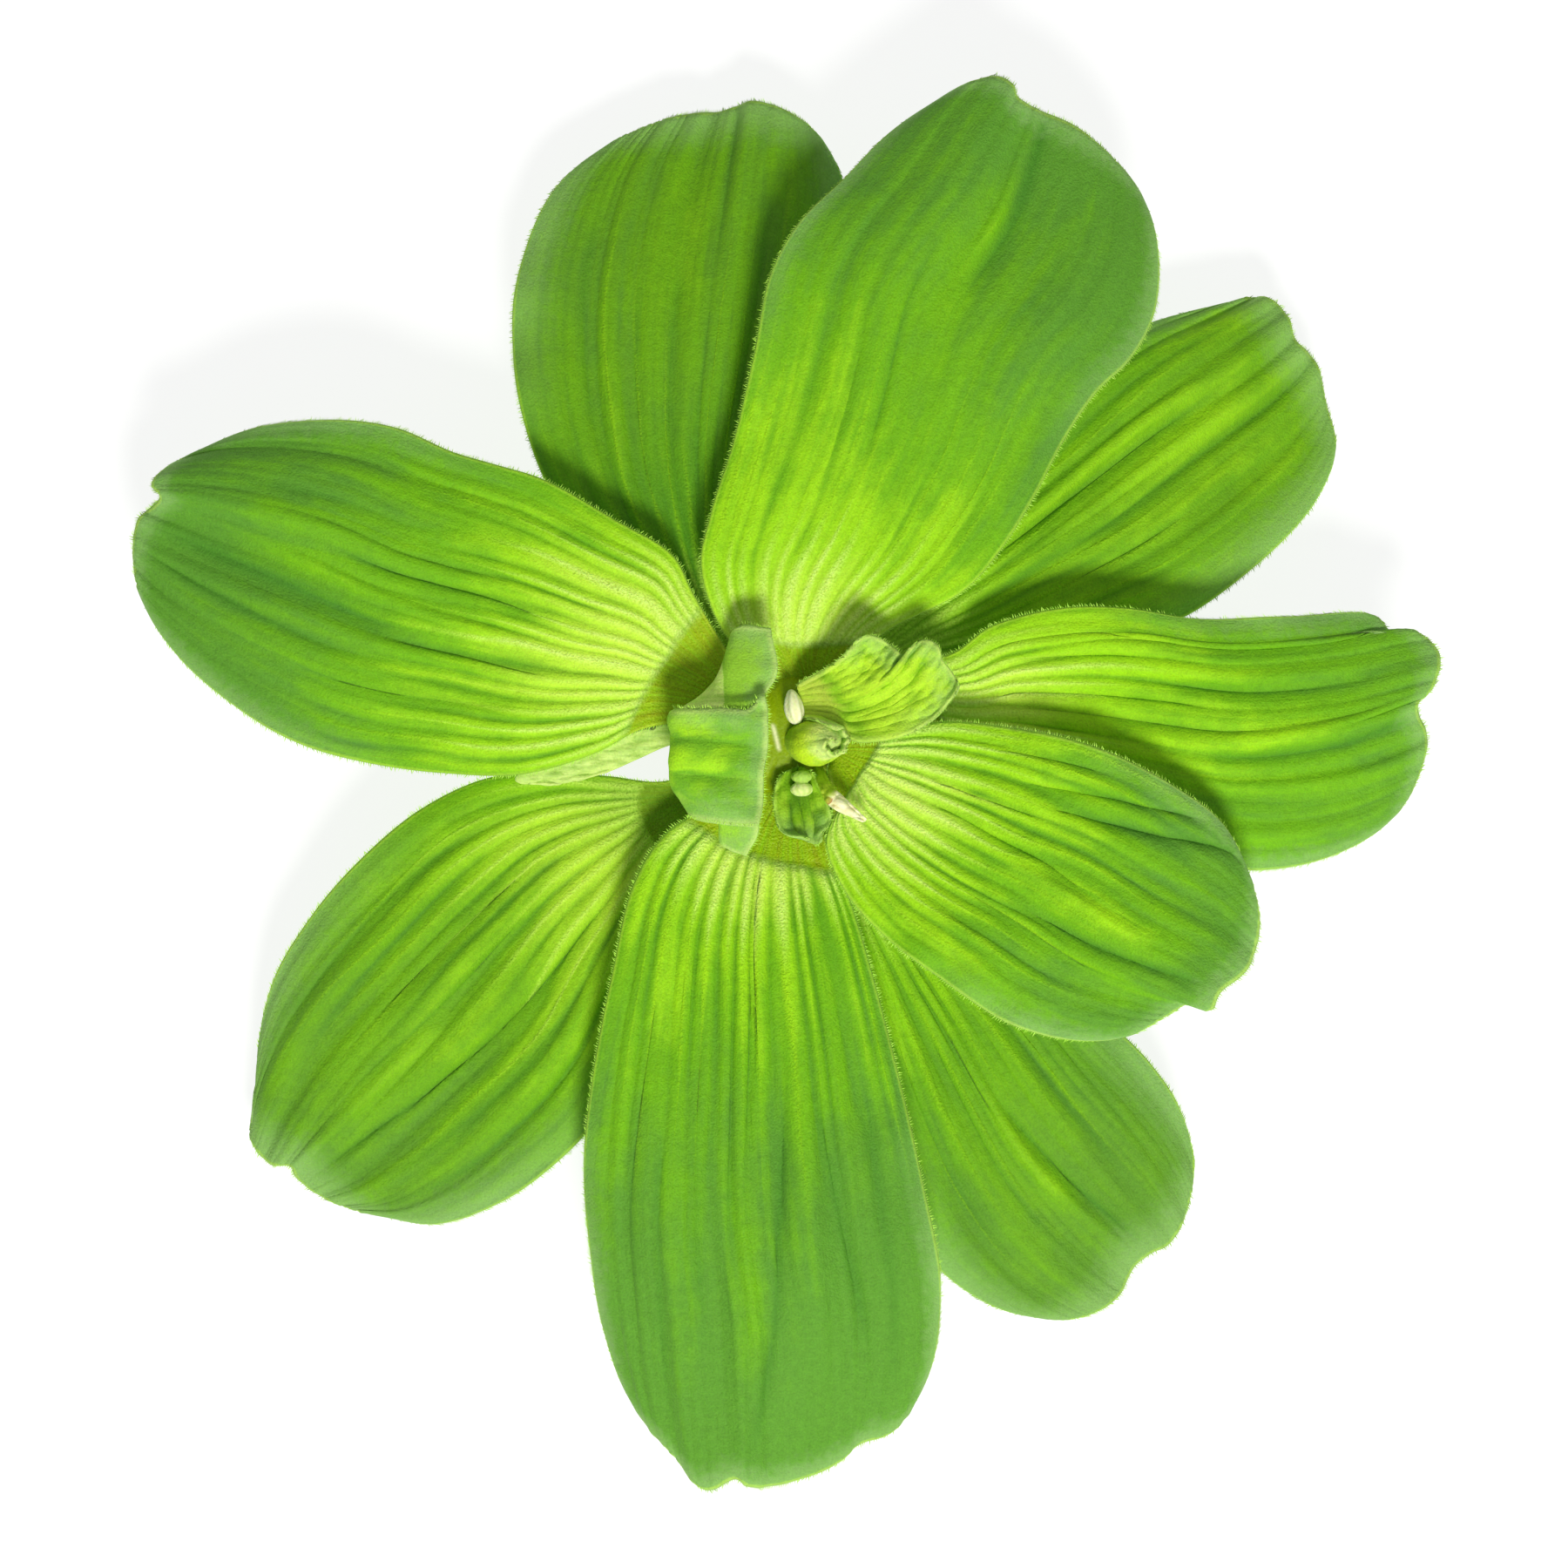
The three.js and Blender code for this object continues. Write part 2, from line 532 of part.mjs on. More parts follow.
const young = material(COLOURS.young);
const sheet = (grid, thickness) => cutByCrown(bladeGeometry(grid, () => thickness));
add(rosette, 'young_leaf_folded', sheet(netGrid(FOLDED_LEAF, 8, 14), 1.0), young);
add(rosette, 'young_leaf_crumpled', sheet(raisedGrid(CRUMPLED_LEAF, 7, 12, crumpledHeight), 1.0), young);
add(rosette, 'bud_rolled', sheet(even(4).map((t) => even(12).map((s) => budPoint(s, t))), 0.8), young);
add(rosette, 'bract_cupped', sheet(raisedGrid(CUPPED_BRACT, 5, 8, bractHeight), 0.8), young);
add(rosette, 'stipule', sheet(raisedGrid(STIPULE, 8, 2, stipuleHeight), 0.6), material(COLOURS.membrane));

const white = material(COLOURS.white, 0.5);
add(rosette, 'bract_withered', sheet(netGrid(WITHERED_BRACT, 8, 2), 0.9), white);
add(rosette, 'spadix', cutByCrown(plump(2.4, 3.4, 2.4, [2.4, -7.4, 20.8])), white);
add(rosette, 'spathe_white', cutByCrown(plump(2.7, 5.0, 3.6, [1.1, 4.2, 19.4])), white);

export default plant;
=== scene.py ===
# %% [markdown]
# A rosette of water lettuce, seen from straight above. Nine broad leaves spread round a leafy bud. The
# blades are velvety, folded into ribs where they start, pale there and deep green at their tips. This
# lesson dresses a plain solid model of the plant: the model settles where every piece is and how large,
# and the scene gives each piece its fine surface and its finish.

# %% The frame
import math

import bpy
import numpy as np
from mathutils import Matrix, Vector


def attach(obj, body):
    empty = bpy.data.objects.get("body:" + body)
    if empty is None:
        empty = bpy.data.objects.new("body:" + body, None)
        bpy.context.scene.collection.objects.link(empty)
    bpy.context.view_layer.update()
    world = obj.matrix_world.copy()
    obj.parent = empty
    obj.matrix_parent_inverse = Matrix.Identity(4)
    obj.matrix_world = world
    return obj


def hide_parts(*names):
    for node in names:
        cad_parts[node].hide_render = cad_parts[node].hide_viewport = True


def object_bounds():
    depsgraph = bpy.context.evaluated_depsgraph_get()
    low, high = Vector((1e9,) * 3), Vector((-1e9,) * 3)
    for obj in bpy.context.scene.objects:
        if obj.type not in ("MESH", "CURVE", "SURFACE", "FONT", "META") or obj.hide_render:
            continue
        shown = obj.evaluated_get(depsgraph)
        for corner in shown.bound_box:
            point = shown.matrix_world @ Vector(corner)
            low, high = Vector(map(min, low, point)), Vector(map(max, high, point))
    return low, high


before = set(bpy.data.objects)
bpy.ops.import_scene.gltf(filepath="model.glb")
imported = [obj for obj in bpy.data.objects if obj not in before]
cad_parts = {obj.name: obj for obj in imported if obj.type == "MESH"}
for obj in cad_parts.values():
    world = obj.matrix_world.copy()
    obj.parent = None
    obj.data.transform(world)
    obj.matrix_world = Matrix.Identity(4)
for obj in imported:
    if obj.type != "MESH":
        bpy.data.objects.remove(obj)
cad_low, cad_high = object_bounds()
MM = 0.001
print("solid model, in mm:", [round(v / MM, 1) for v in (cad_high - cad_low)])

# %% [markdown]
# The camera looks straight down, as the photographer did, with the top of the picture towards +Y. A long
# lens from far away keeps the leaves from swelling towards the middle. The distance follows from the
# size of the model, so the plant always fills the same share of the picture.

# %% Camera
LENS = 135
SENSOR = 36
FRAME_FILL = 0.9  # share of the picture's height that the plant takes
SCALE_HEIGHT = 0.6  # share of the plant's height at which that share is exact


def add_object(name, data):
    """An object in the scene for a camera, a lamp or a mesh."""
    added = bpy.data.objects.new(name, data)
    bpy.context.scene.collection.objects.link(added)
    return added


middle = (cad_low + cad_high) / 2
view_width = (cad_high.y - cad_low.y) / FRAME_FILL
camera_data = bpy.data.cameras.new("camera")
camera_data.lens = LENS
camera_data.sensor_width = SENSOR
camera = add_object("camera", camera_data)
camera.location = (middle.x, middle.y, cad_high.z * SCALE_HEIGHT + view_width * LENS / SENSOR)
bpy.context.scene.camera = camera
print("camera height, in m:", round(camera.location.z, 3))

# %% [markdown]
# Shader and geometry trees are built in code, so a few small helpers save a lot of lines. One fills the
# sockets of a node, linking a socket where it is given one and setting a value otherwise. Others add a
# node, do a sum, mix colours or start a material. A group with named inputs and outputs lets one effect
# serve many materials.


# %% Node helpers
def fill(tree, node, inputs):
    for key, value in inputs.items():
        if isinstance(value, bpy.types.NodeSocket):
            tree.links.new(value, node.inputs[key])
        else:
            node.inputs[key].default_value = value


def add_node(tree, kind, inputs=None, **settings):
    node = tree.nodes.new(kind)
    for name, value in settings.items():
        setattr(node, name, value)
    fill(tree, node, inputs or {})
    return node


def calc(tree, operation, *values, clamp=False):
    node = add_node(tree, "ShaderNodeMath", dict(enumerate(values)), operation=operation, use_clamp=clamp)
    return node.outputs[0]


def remap(tree, value, low, high, to_low=0.0, to_high=1.0):
    """A smooth step from to_low to to_high while value goes from low to high."""
    sockets = {"Value": value, 1: low, 2: high, 3: to_low, 4: to_high}
    return add_node(tree, "ShaderNodeMapRange", sockets, interpolation_type="SMOOTHSTEP").outputs[0]


def mix_colour(tree, amount, first, second, blend="MIX"):
    sockets = {0: amount, 6: first, 7: second}
    return add_node(tree, "ShaderNodeMix", sockets, data_type="RGBA", blend_type=blend).outputs[2]


def bumped(tree, height, distance, strength):
    """A normal that follows a height, where a height of 1 is the distance in metres."""
    sockets = {"Height": height, "Distance": distance, "Strength": strength}
    return add_node(tree, "ShaderNodeBump", sockets).outputs[0]


def typed(kind, values):
    """Inputs of one type for a group, from their names and defaults."""
    return {label: (kind, default) for label, default in values.items()}


def new_group(name, inputs, outputs, kind="ShaderNodeTree"):
    """A node group. Inputs map a name to a socket type and a default, outputs map a name to a type."""
    tree = bpy.data.node_groups.new(name, kind)
    for label, (socket_type, default) in inputs.items():
        socket = tree.interface.new_socket(label, in_out="INPUT", socket_type="NodeSocket" + socket_type)
        if default is not None:
            socket.default_value = default
    for label, socket_type in outputs.items():
        tree.interface.new_socket(label, in_out="OUTPUT", socket_type="NodeSocket" + socket_type)
    return tree, add_node(tree, "NodeGroupInput").outputs, add_node(tree, "NodeGroupOutput").inputs


def new_material(name):
    """A material, its tree of nodes, and the shader in it."""
    material = bpy.data.materials.new(name)
    material.use_nodes = True
    return material, material.node_tree, material.node_tree.nodes["Principled BSDF"]


def srgb(red, green, blue):
    """A colour as it looks on screen (0 to 255), turned into the linear values that shaders use."""
    linear = [c / 255 / 12.92 if c <= 10 else ((c / 255 + 0.055) / 1.055) ** 2.4 for c in (red, green, blue)]
    return (*linear, 1.0)


print("leaf green in a shader's values:", [round(value, 3) for value in srgb(112, 178, 6)])

# %% [markdown]
# The plant lies on a plain pale table. Soft daylight falls from the bottom of the picture and a little
# from the right, so each leaf throws a short shadow on what lies under it, towards the top of the picture.
# A broad lamp gives those shadows soft edges, and a pale sky fills them. The table glows by itself, so
# that the shadows on it stay faint. Sizes and distances are in metres here.

# %% Table and light
TABLE_SIZE = 4.0
TABLE_GLOW = 0.84
KEY_DISTANCE = 1.5
KEY_ELEVATION = 55
KEY_AZIMUTH = 12  # degrees from the picture's bottom towards its right
KEY_SIZE = 0.38
KEY_POWER = 20.5
SKY_STRENGTH = 0.36


def make_table():
    mesh = bpy.data.meshes.new("table")
    reach = TABLE_SIZE / 2
    corners = [(-reach, -reach, 0), (reach, -reach, 0), (reach, reach, 0), (-reach, reach, 0)]
    mesh.from_pydata(corners, [], [(0, 1, 2, 3)])
    table = add_object("table", mesh)
    material, tree, shader = new_material("pale table")
    fill(tree, shader, {
        "Base Color": srgb(130, 130, 130),
        "Roughness": 0.9,
        "Emission Color": (1.0, 1.0, 1.0, 1.0),
        "Emission Strength": TABLE_GLOW,
    })
    mesh.materials.append(material)


def make_light():
    lamp = bpy.data.lights.new("daylight", "AREA")
    lamp.shape = "DISK"
    lamp.size = KEY_SIZE
    lamp.energy = KEY_POWER
    lamp.color = (1.0, 0.985, 0.95)
    holder = add_object("daylight", lamp)
    rise, turn = math.radians(KEY_ELEVATION), math.radians(KEY_AZIMUTH)
    holder.location = (
        KEY_DISTANCE * math.cos(rise) * math.sin(turn),
        -KEY_DISTANCE * math.cos(rise) * math.cos(turn),
        KEY_DISTANCE * math.sin(rise),
    )
    holder.rotation_euler = (math.pi / 2 - rise, 0, turn)


def make_sky():
    world = bpy.data.worlds.new("sky")
    world.use_nodes = True
    sky = world.node_tree.nodes["Background"]
    fill(world.node_tree, sky, {"Color": (0.97, 0.985, 1.0, 1.0), "Strength": SKY_STRENGTH})
    bpy.context.scene.world = world
    bpy.context.scene.view_settings.view_transform = "Standard"


make_table()
make_light()
make_sky()
print("table, light and sky are ready")

# %% [markdown]
# The outline of each leaf is a smooth line through a few points, measured from the middle of the crown in
# millimetres. It runs out along the left side, over the tip and back along the right side. The same
# points and heights shape the solid model, so both agree. Beside the outline stand the values that give
# each leaf its own look. Shares run from the crown to the tip, or from the right side to the left.
#
# - tip: the places in the outline where the tip starts, where it is notched and where it ends
# - spine, cup, roll: heights along the middle, how far the sides rise above it, and a tilt, in mm
# - crease: height in mm of the crease that runs in from the notch, and its steep side, 1 left or -1 right
# - ribs, rib_height, reach: how many ribs, how high they are in mm, and how far out they run
# - joint: the share along at which the stalk ends and the blade starts
# - tone, cool: how old the tissue looks at the joint and how fast it ages, and how much older at the sides
# - pale, and the painted shadow's key: how far the pale base reaches, and how strong and how long the
#   painted shadow over its inner end is
# - the furrows' painted shade, and pleat: how dark the painted shade in the furrows is, and how high the
#   soft pleats are in mm
# - folds: (across at its start, across at its end, along at its start, along at its end, depth, width)
#   of each long fold, all shares except the depth, which is in mm and below zero for a ridge

# %% The nine leaves
LEAVES = [
    {
        "name": "leaf_north_northwest",
        "layer": "lower",
        "outline": [
            (-6.1, 7.6), (-17.9, 17.4), (-27.3, 25.8), (-35.1, 37.0), (-39.1, 47.9), (-40.7, 60.5),
            (-39.3, 71.4), (-34.7, 82.1), (-27.3, 88.8), (-20.0, 92.2), (-15.3, 93.5), (-9.5, 94.1),
            (-4.8, 95.3), (1.5, 93.2), (6.1, 88.8), (9.0, 81.5), (9.5, 71.0), (7.4, 58.4), (3.2, 45.8),
            (-2.1, 33.2), (-6.3, 21.6), (-3.6, 9.0),
        ],
        "tip": (8, 12, 14),
        "spine": (8, 9.5, 7.5, 0.5),
        "cup": (2.0, 1.0, 1.5),
        "roll": -1.0,
        "crease": (1.4, 1),
        "ribs": 12,
        "rib_height": 0.45,
        "reach": 0.8,
        "joint": (0.07, 0.07, 0.07),
        "cool": (0.3, 0.1),
        "furrow_shades": (0.25, 0.25),
        "tone": (0.46, 0.24),
        "painted_shadow": (1.0, 0.6),
        "pale": 0.12,
        "pleat": 0.28,
        "folds": [
            (0.52, 0.5, 0.35, 0.8, 0.4, 0.03), (0.62, 0.62, 0.3, 0.75, 0.4, 0.02),
            (0.37, 0.37, 0.75, 1.05, -0.6, 0.015), (0.44, 0.45, 0.78, 1.05, -0.5, 0.015),
            (0.4, 0.41, 0.7, 1.05, 0.4, 0.02), (0.78, 0.8, 0.4, 0.9, 0.4, 0.03),
            (0.28, 0.28, 0.4, 0.9, 0.4, 0.03),
        ],
    },
    {
        "name": "leaf_southwest",
        "layer": "lower",
        "outline": [
            (-6.3, -8.0), (-15.3, -15.1), (-17.4, -25.6), (-20.0, -38.2), (-23.7, -49.8), (-29.2, -58.4),
            (-35.7, -64.9), (-43.1, -70.1), (-52.5, -73.5), (-60.9, -72.5), (-69.3, -69.9), (-73.7, -66.4),
            (-74.3, -64.7), (-77.5, -64.3), (-80.6, -60.5), (-79.6, -55.0), (-79.4, -46.6), (-76.7, -36.5),
            (-71.4, -27.7), (-64.1, -19.3), (-54.6, -11.3), (-45.2, -6.7), (-35.7, -5.5), (-26.3, -6.3),
            (-17.9, -7.1), (-7.8, -3.6),
        ],
        "tip": (9, 12, 15),
        "spine": (8, 8.5, 5.5, -2.0),
        "cup": (2.0, 1.0, 0.5),
        "roll": -1.0,
        "crease": (2.0, 1),
        "ribs": 12,
        "rib_height": 0.65,
        "reach": 1.0,
        "joint": (0.14, 0.17, 0.17),
        "cool": (0.1, 0.1),
        "furrow_shades": (0.45, 0.45),
        "tone": (0.0, 1.1),
        "painted_shadow": (1.0, 0.32),
        "pale": 0.31,
        "pleat": 0.34,
        "folds": [
            (0.67, 0.53, 0.26, 1.02, 1.0, 0.022), (0.5, 0.46, 0.6, 1.04, -0.8, 0.02),
            (0.37, 0.35, 0.35, 0.72, 0.5, 0.02), (0.47, 0.44, 0.42, 0.85, 0.45, 0.018),
            (0.24, 0.26, 0.4, 0.85, 0.45, 0.02), (0.15, 0.17, 0.4, 0.85, 0.35, 0.025),
            (0.76, 0.72, 0.4, 0.92, 0.5, 0.025), (0.86, 0.83, 0.45, 0.92, 0.35, 0.025),
        ],
    },
    {
        "name": "leaf_southeast",
        "layer": "lower",
        "outline": [
            (6.2, -7.6), (15.8, -17.2), (26.3, -24.6), (37.8, -33.0), (47.3, -42.0), (54.6, -49.1),
            (59.4, -56.3), (61.5, -63.8), (60.5, -71.4), (57.8, -76.4), (55.0, -77.9), (52.5, -80.2),
            (50.2, -84.6), (45.2, -87.6), (37.8, -87.8), (30.5, -85.5), (22.9, -79.8), (17.9, -71.8),
            (13.7, -59.2), (10.5, -44.5), (7.4, -28.8), (3.2, -9.5),
        ],
        "tip": (7, 10, 14),
        "spine": (8, 8.5, 5.0, -2.5),
        "cup": (2.0, 0.5, 0.5),
        "roll": 1.0,
        "crease": (1.6, -1),
        "ribs": 12,
        "rib_height": 0.5,
        "reach": 0.95,
        "joint": (0.08, 0.08, 0.08),
        "cool": (0.0, 0.1),
        "furrow_shades": (0.3, 0.35),
        "tone": (0.07, 1.0),
        "pale": 0.18,
        "pleat": 0.3,
        "folds": [
            (0.5, 0.58, 0.6, 1.0, 0.8, 0.025), (0.46, 0.53, 0.6, 1.04, -0.6, 0.018),
            (0.36, 0.36, 0.4, 0.9, 0.45, 0.025), (0.68, 0.68, 0.4, 0.88, 0.4, 0.025),
            (0.46, 0.47, 0.3, 0.7, -0.35, 0.015), (0.2, 0.22, 0.4, 0.85, 0.35, 0.025),
            (0.8, 0.78, 0.45, 0.9, 0.35, 0.025),
        ],
    },
    {
        "name": "leaf_northeast",
        "layer": "lower",
        "outline": [
            (5.0, 8.4), (12.6, 17.4), (18.9, 27.9), (27.3, 40.5), (36.8, 52.1), (47.3, 59.2), (55.7, 62.4),
            (65.1, 64.9), (72.5, 65.9), (75.4, 63.0), (76.7, 59.4), (79.8, 56.3), (81.5, 50.4), (83.0, 43.3),
            (80.0, 35.7), (74.6, 29.4), (66.2, 22.3), (58.8, 17.6), (47.3, 13.9), (34.7, 11.3), (22.1, 10.1),
            (7.4, 6.3),
        ],
        "tip": (7, 10, 13),
        "spine": (8, 9.5, 7.0, 0.0),
        "cup": (2.0, 0.5, 0.5),
        "roll": 1.0,
        "crease": (2.0, -1),
        "ribs": 12,
        "rib_height": 0.5,
        "reach": 0.95,
        "joint": (0.08, 0.08, 0.08),
        "cool": (0.1, 0.0),
        "furrow_shades": (0.3, 0.3),
        "tone": (0.25, 0.33),
        "painted_shadow": (0.7, 0.3),
        "pale": 0.18,
        "pleat": 0.3,
        "folds": [
            (0.57, 0.57, 0.35, 0.85, 0.6, 0.025), (0.42, 0.42, 0.45, 1.02, 0.6, 0.03),
            (0.3, 0.28, 0.4, 0.9, 0.35, 0.025), (0.63, 0.62, 0.35, 0.85, -0.45, 0.012),
            (0.5, 0.49, 0.35, 0.95, -0.45, 0.012), (0.75, 0.75, 0.5, 0.95, 0.35, 0.025),
            (0.18, 0.18, 0.45, 0.9, 0.3, 0.03),
        ],
    },
    {
        "name": "leaf_west",
        "layer": "upper",
        "outline": [
            (-9.5, 2.7), (-20.8, 1.3), (-28.4, -2.5), (-38.9, -5.5), (-51.5, -5.3), (-62.0, -3.8),
            (-72.5, -0.8), (-81.9, 4.6), (-90.3, 11.8), (-95.6, 19.5), (-97.0, 26.5), (-96.0, 32.1),
            (-92.4, 35.3), (-93.7, 37.2), (-92.2, 39.3), (-87.2, 42.4), (-78.8, 45.6), (-67.2, 46.6),
            (-57.8, 45.4), (-49.4, 41.8), (-43.1, 39.9), (-35.7, 37.6), (-25.2, 31.7), (-16.8, 26.5),
            (-13.9, 21.0), (-6.0, 7.5),
        ],
        "tip": (9, 12, 15),
        "spine": (13.5, 17.5, 18.5, 13.0),
        "cup": (2.0, -1.0, -2.0),
        "roll": -1.5,
        "crease": (2.4, 1),
        "ribs": 15,
        "rib_height": 0.75,
        "reach": 0.6,
        "joint": (0.13, 0.142, 0.15),
        "cool": (0.06, 0.1),
        "furrow_shades": (0.35, 0.5),
        "tone": (0.0, 1.25),
        "pale": 0.285,
        "pleat": 0.3,
        "folds": [
            (0.545, 0.4, 0.3, 1.02, -0.6, 0.014), (0.58, 0.54, 0.5, 1.0, 1.1, 0.05),
            (0.43, 0.41, 0.32, 0.74, 0.6, 0.02), (0.7, 0.67, 0.55, 1.0, 0.6, 0.03),
            (0.63, 0.62, 0.3, 0.6, 0.45, 0.018), (0.36, 0.34, 0.42, 0.8, 0.4, 0.02),
            (0.77, 0.78, 0.35, 0.72, 0.4, 0.02), (0.26, 0.28, 0.5, 0.88, 0.35, 0.025),
        ],
    },
    {
        "name": "leaf_south",
        "layer": "upper",
        "outline": [
            (3.6, -8.8), (6.1, -16.8), (9.5, -25.0), (13.0, -36.5), (17.0, -51.9), (20.4, -67.2),
            (22.9, -80.6), (22.3, -91.8), (19.5, -99.5), (15.3, -104.2), (11.3, -105.4), (7.8, -108.4),
            (0.0, -111.3), (-5.3, -111.5), (-7.4, -110.3), (-12.0, -112.1), (-16.4, -107.5), (-23.1, -99.5),
            (-27.1, -88.6), (-29.0, -76.0), (-29.8, -64.5), (-28.4, -50.8), (-25.4, -35.1), (-22.1, -21.8),
            (-17.0, -14.3), (-4.8, -7.8),
        ],
        "tip": (8, 14, 17),
        "spine": (13.5, 17.5, 17.5, 9.5),
        "cup": (2.0, -1.0, -2.0),
        "roll": 0.5,
        "crease": (1.8, 1),
        "ribs": 13,
        "rib_height": 0.9,
        "reach": 1.0,
        "joint": (0.105, 0.122, 0.13),
        "cool": (-0.08, 0.3),
        "furrow_shades": (0.4, 0.45),
        "tone": (0.22, 1.1),
        "pale": 0.1,
        "pleat": 0.34,
        "folds": [
            (0.52, 0.5, 0.12, 0.58, 0.45, 0.012), (0.55, 0.53, 0.12, 0.5, 0.4, 0.01),
            (0.63, 0.42, 0.42, 1.02, 0.7, 0.03), (0.57, 0.38, 0.6, 1.06, -0.3, 0.02),
            (0.17, 0.17, 0.3, 0.78, 0.35, 0.025), (0.36, 0.34, 0.3, 0.85, 0.4, 0.03),
            (0.72, 0.79, 0.42, 0.88, 0.55, 0.035), (0.25, 0.22, 0.5, 0.96, 0.35, 0.03),
            (0.87, 0.85, 0.4, 0.95, 0.35, 0.03), (0.46, 0.46, 0.3, 0.75, 0.3, 0.02),
        ],
    },
    {
        "name": "leaf_east",
        "layer": "upper",
        "outline": [
            (7.4, 5.2), (17.9, 10.1), (25.2, 12.2), (30.5, 16.0), (41.0, 18.7), (50.4, 18.7), (60.9, 17.2),
            (74.6, 17.6), (87.6, 17.9), (90.3, 15.1), (93.5, 15.5), (96.8, 12.2), (95.8, 7.1), (93.5, 4.4),
            (95.3, -0.4), (94.1, -6.3), (90.3, -12.6), (83.0, -17.2), (74.6, -19.5), (65.1, -19.7),
            (53.6, -17.6), (41.0, -13.0), (29.4, -6.7), (20.0, -1.5), (9.0, 0.6),
        ],
        "tip": (8, 13, 16),
        "spine": (13.5, 16.5, 16.5, 12.5),
        "cup": (1.5, -1.0, -1.5),
        "roll": 1.5,
        "crease": (2.6, -1),
        "ribs": 12,
        "rib_height": 0.7,
        "reach": 0.65,
        "joint": (0.17, 0.17, 0.17),
        "cool": (0.15, 0.0),
        "furrow_shades": (0.25, 0.4),
        "tone": (-0.08, 1.05),
        "pale": 0.268,
        "pleat": 0.28,
        "folds": [
            (0.57, 0.59, 0.26, 0.64, 0.6, 0.016), (0.495, 0.5, 0.26, 0.8, 0.5, 0.022),
            (0.76, 0.74, 0.3, 0.52, 0.4, 0.018), (0.87, 0.86, 0.3, 0.55, 0.3, 0.014),
            (0.46, 0.55, 0.6, 1.06, -0.7, 0.018), (0.4, 0.46, 0.6, 1.06, 0.8, 0.04),
            (0.64, 0.66, 0.5, 0.95, 0.5, 0.035), (0.78, 0.78, 0.5, 0.92, 0.35, 0.03),
            (0.25, 0.22, 0.45, 0.95, 0.3, 0.035),
        ],
    },
    {
        "name": "leaf_north",
        "layer": "upper",
        "outline": [
            (0.6, 7.6), (-8.2, 14.5), (-12.2, 24.8), (-10.7, 33.2), (-7.4, 43.7), (-4.4, 56.3), (-2.1, 67.8),
            (2.1, 75.6), (8.4, 82.1), (15.3, 89.3), (22.1, 94.1), (27.7, 96.8), (31.3, 97.4), (33.6, 96.0),
            (34.4, 94.1), (43.1, 90.1), (48.7, 85.7), (53.6, 79.4), (55.4, 71.4), (54.6, 62.6), (51.0, 55.9),
            (45.8, 50.8), (41.0, 43.7), (36.8, 35.7), (31.9, 27.9), (26.3, 21.6), (14.1, 15.1), (6.0, 7.4),
        ],
        "tip": (10, 14, 17),
        "spine": (13.5, 18.5, 20.0, 14.5),
        "cup": (2.0, -1.0, -2.0),
        "roll": 1.0,
        "crease": (2.2, -1),
        "ribs": 14,
        "rib_height": 0.5,
        "reach": 0.42,
        "joint": (0.095, 0.088, 0.1),
        "cool": (0.5, 0.1),
        "furrow_shades": (0.12, 0.22),
        "tone": (0.02, 1.0),
        "pale": 0.175,
        "pleat": 0.14,
        "folds": [
            (0.55, 0.62, 0.38, 0.78, 0.5, 0.018), (0.51, 0.565, 0.72, 1.08, -0.8, 0.014),
            (0.46, 0.52, 0.66, 1.08, 1.0, 0.04), (0.66, 0.68, 0.36, 0.6, 0.3, 0.015),
            (0.3, 0.3, 0.5, 0.85, 0.25, 0.03), (0.8, 0.8, 0.4, 0.8, 0.25, 0.03),
        ],
    },
    {
        "name": "leaf_east_southeast",
        "layer": "rising",
        "outline": [
            (8.6, -0.8), (15.3, 0.4), (23.1, 1.7), (33.6, 0.8), (45.2, -1.9), (55.7, -6.9), (64.1, -13.0),
            (67.8, -20.0), (69.3, -27.3), (67.4, -34.0), (63.2, -37.6), (62.0, -40.1), (59.4, -39.1),
            (55.7, -41.2), (49.8, -44.3), (42.0, -44.7), (32.6, -42.0), (23.1, -35.7), (14.7, -29.4),
            (9.0, -22.9), (6.2, -15.8), (7.2, -11.4), (7.2, -8.4), (6.6, -5.4),
        ],
        "tip": (7, 11, 14),
        "spine": (17.5, 22.5, 25.5, 25.5),
        "cup": (1.5, 0.0, -1.5),
        "roll": 0.5,
        "crease": (2.6, -1),
        "ribs": 14,
        "rib_height": 0.95,
        "reach": 0.7,
        "joint": (0.1, 0.088, 0.09),
        "cool": (0.2, 0.25),
        "furrow_shades": (0.35, 0.65),
        "tone": (-0.14, 1.1),
        "pale": 0.3,
        "pleat": 0.24,
        "folds": [
            (0.8, 0.97, 0.4, 0.86, 0.9, 0.016), (0.73, 0.97, 0.46, 0.98, 1.1, 0.02),
            (0.58, 0.53, 0.28, 0.7, 0.75, 0.012), (0.38, 0.47, 0.5, 1.02, 1.0, 0.03),
            (0.505, 0.49, 0.44, 0.84, -0.8, 0.015), (0.32, 0.3, 0.45, 0.82, 0.5, 0.02),
            (0.9, 0.93, 0.35, 0.62, 0.4, 0.012), (0.68, 0.7, 0.25, 0.52, 0.4, 0.012),
            (0.2, 0.2, 0.4, 0.8, 0.35, 0.02),
        ],
    },
]
ROSETTE_HEIGHT = 10  # the crown's lower end above the table
print("leaves to build:", len(LEAVES))

# %% [markdown]
# Two kinds of smooth line are needed, and both join their points with the same cubic. A height along a
# leaf goes through evenly spaced values. An outline goes through points that stand closer together where
# the leaf turns, so its spline spaces its steps by the distance between points, which keeps it from
# looping at the sharp notches.

# %% Smooth lines
OUTLINE_STEPS = 16  # fine points from one point of an outline to the next
RIPPLE_WAVES = 7


def smoothstep(low, high, x):
    w = np.clip((x - low) / (high - low), 0, 1)
    return w * w * (3 - 2 * w)


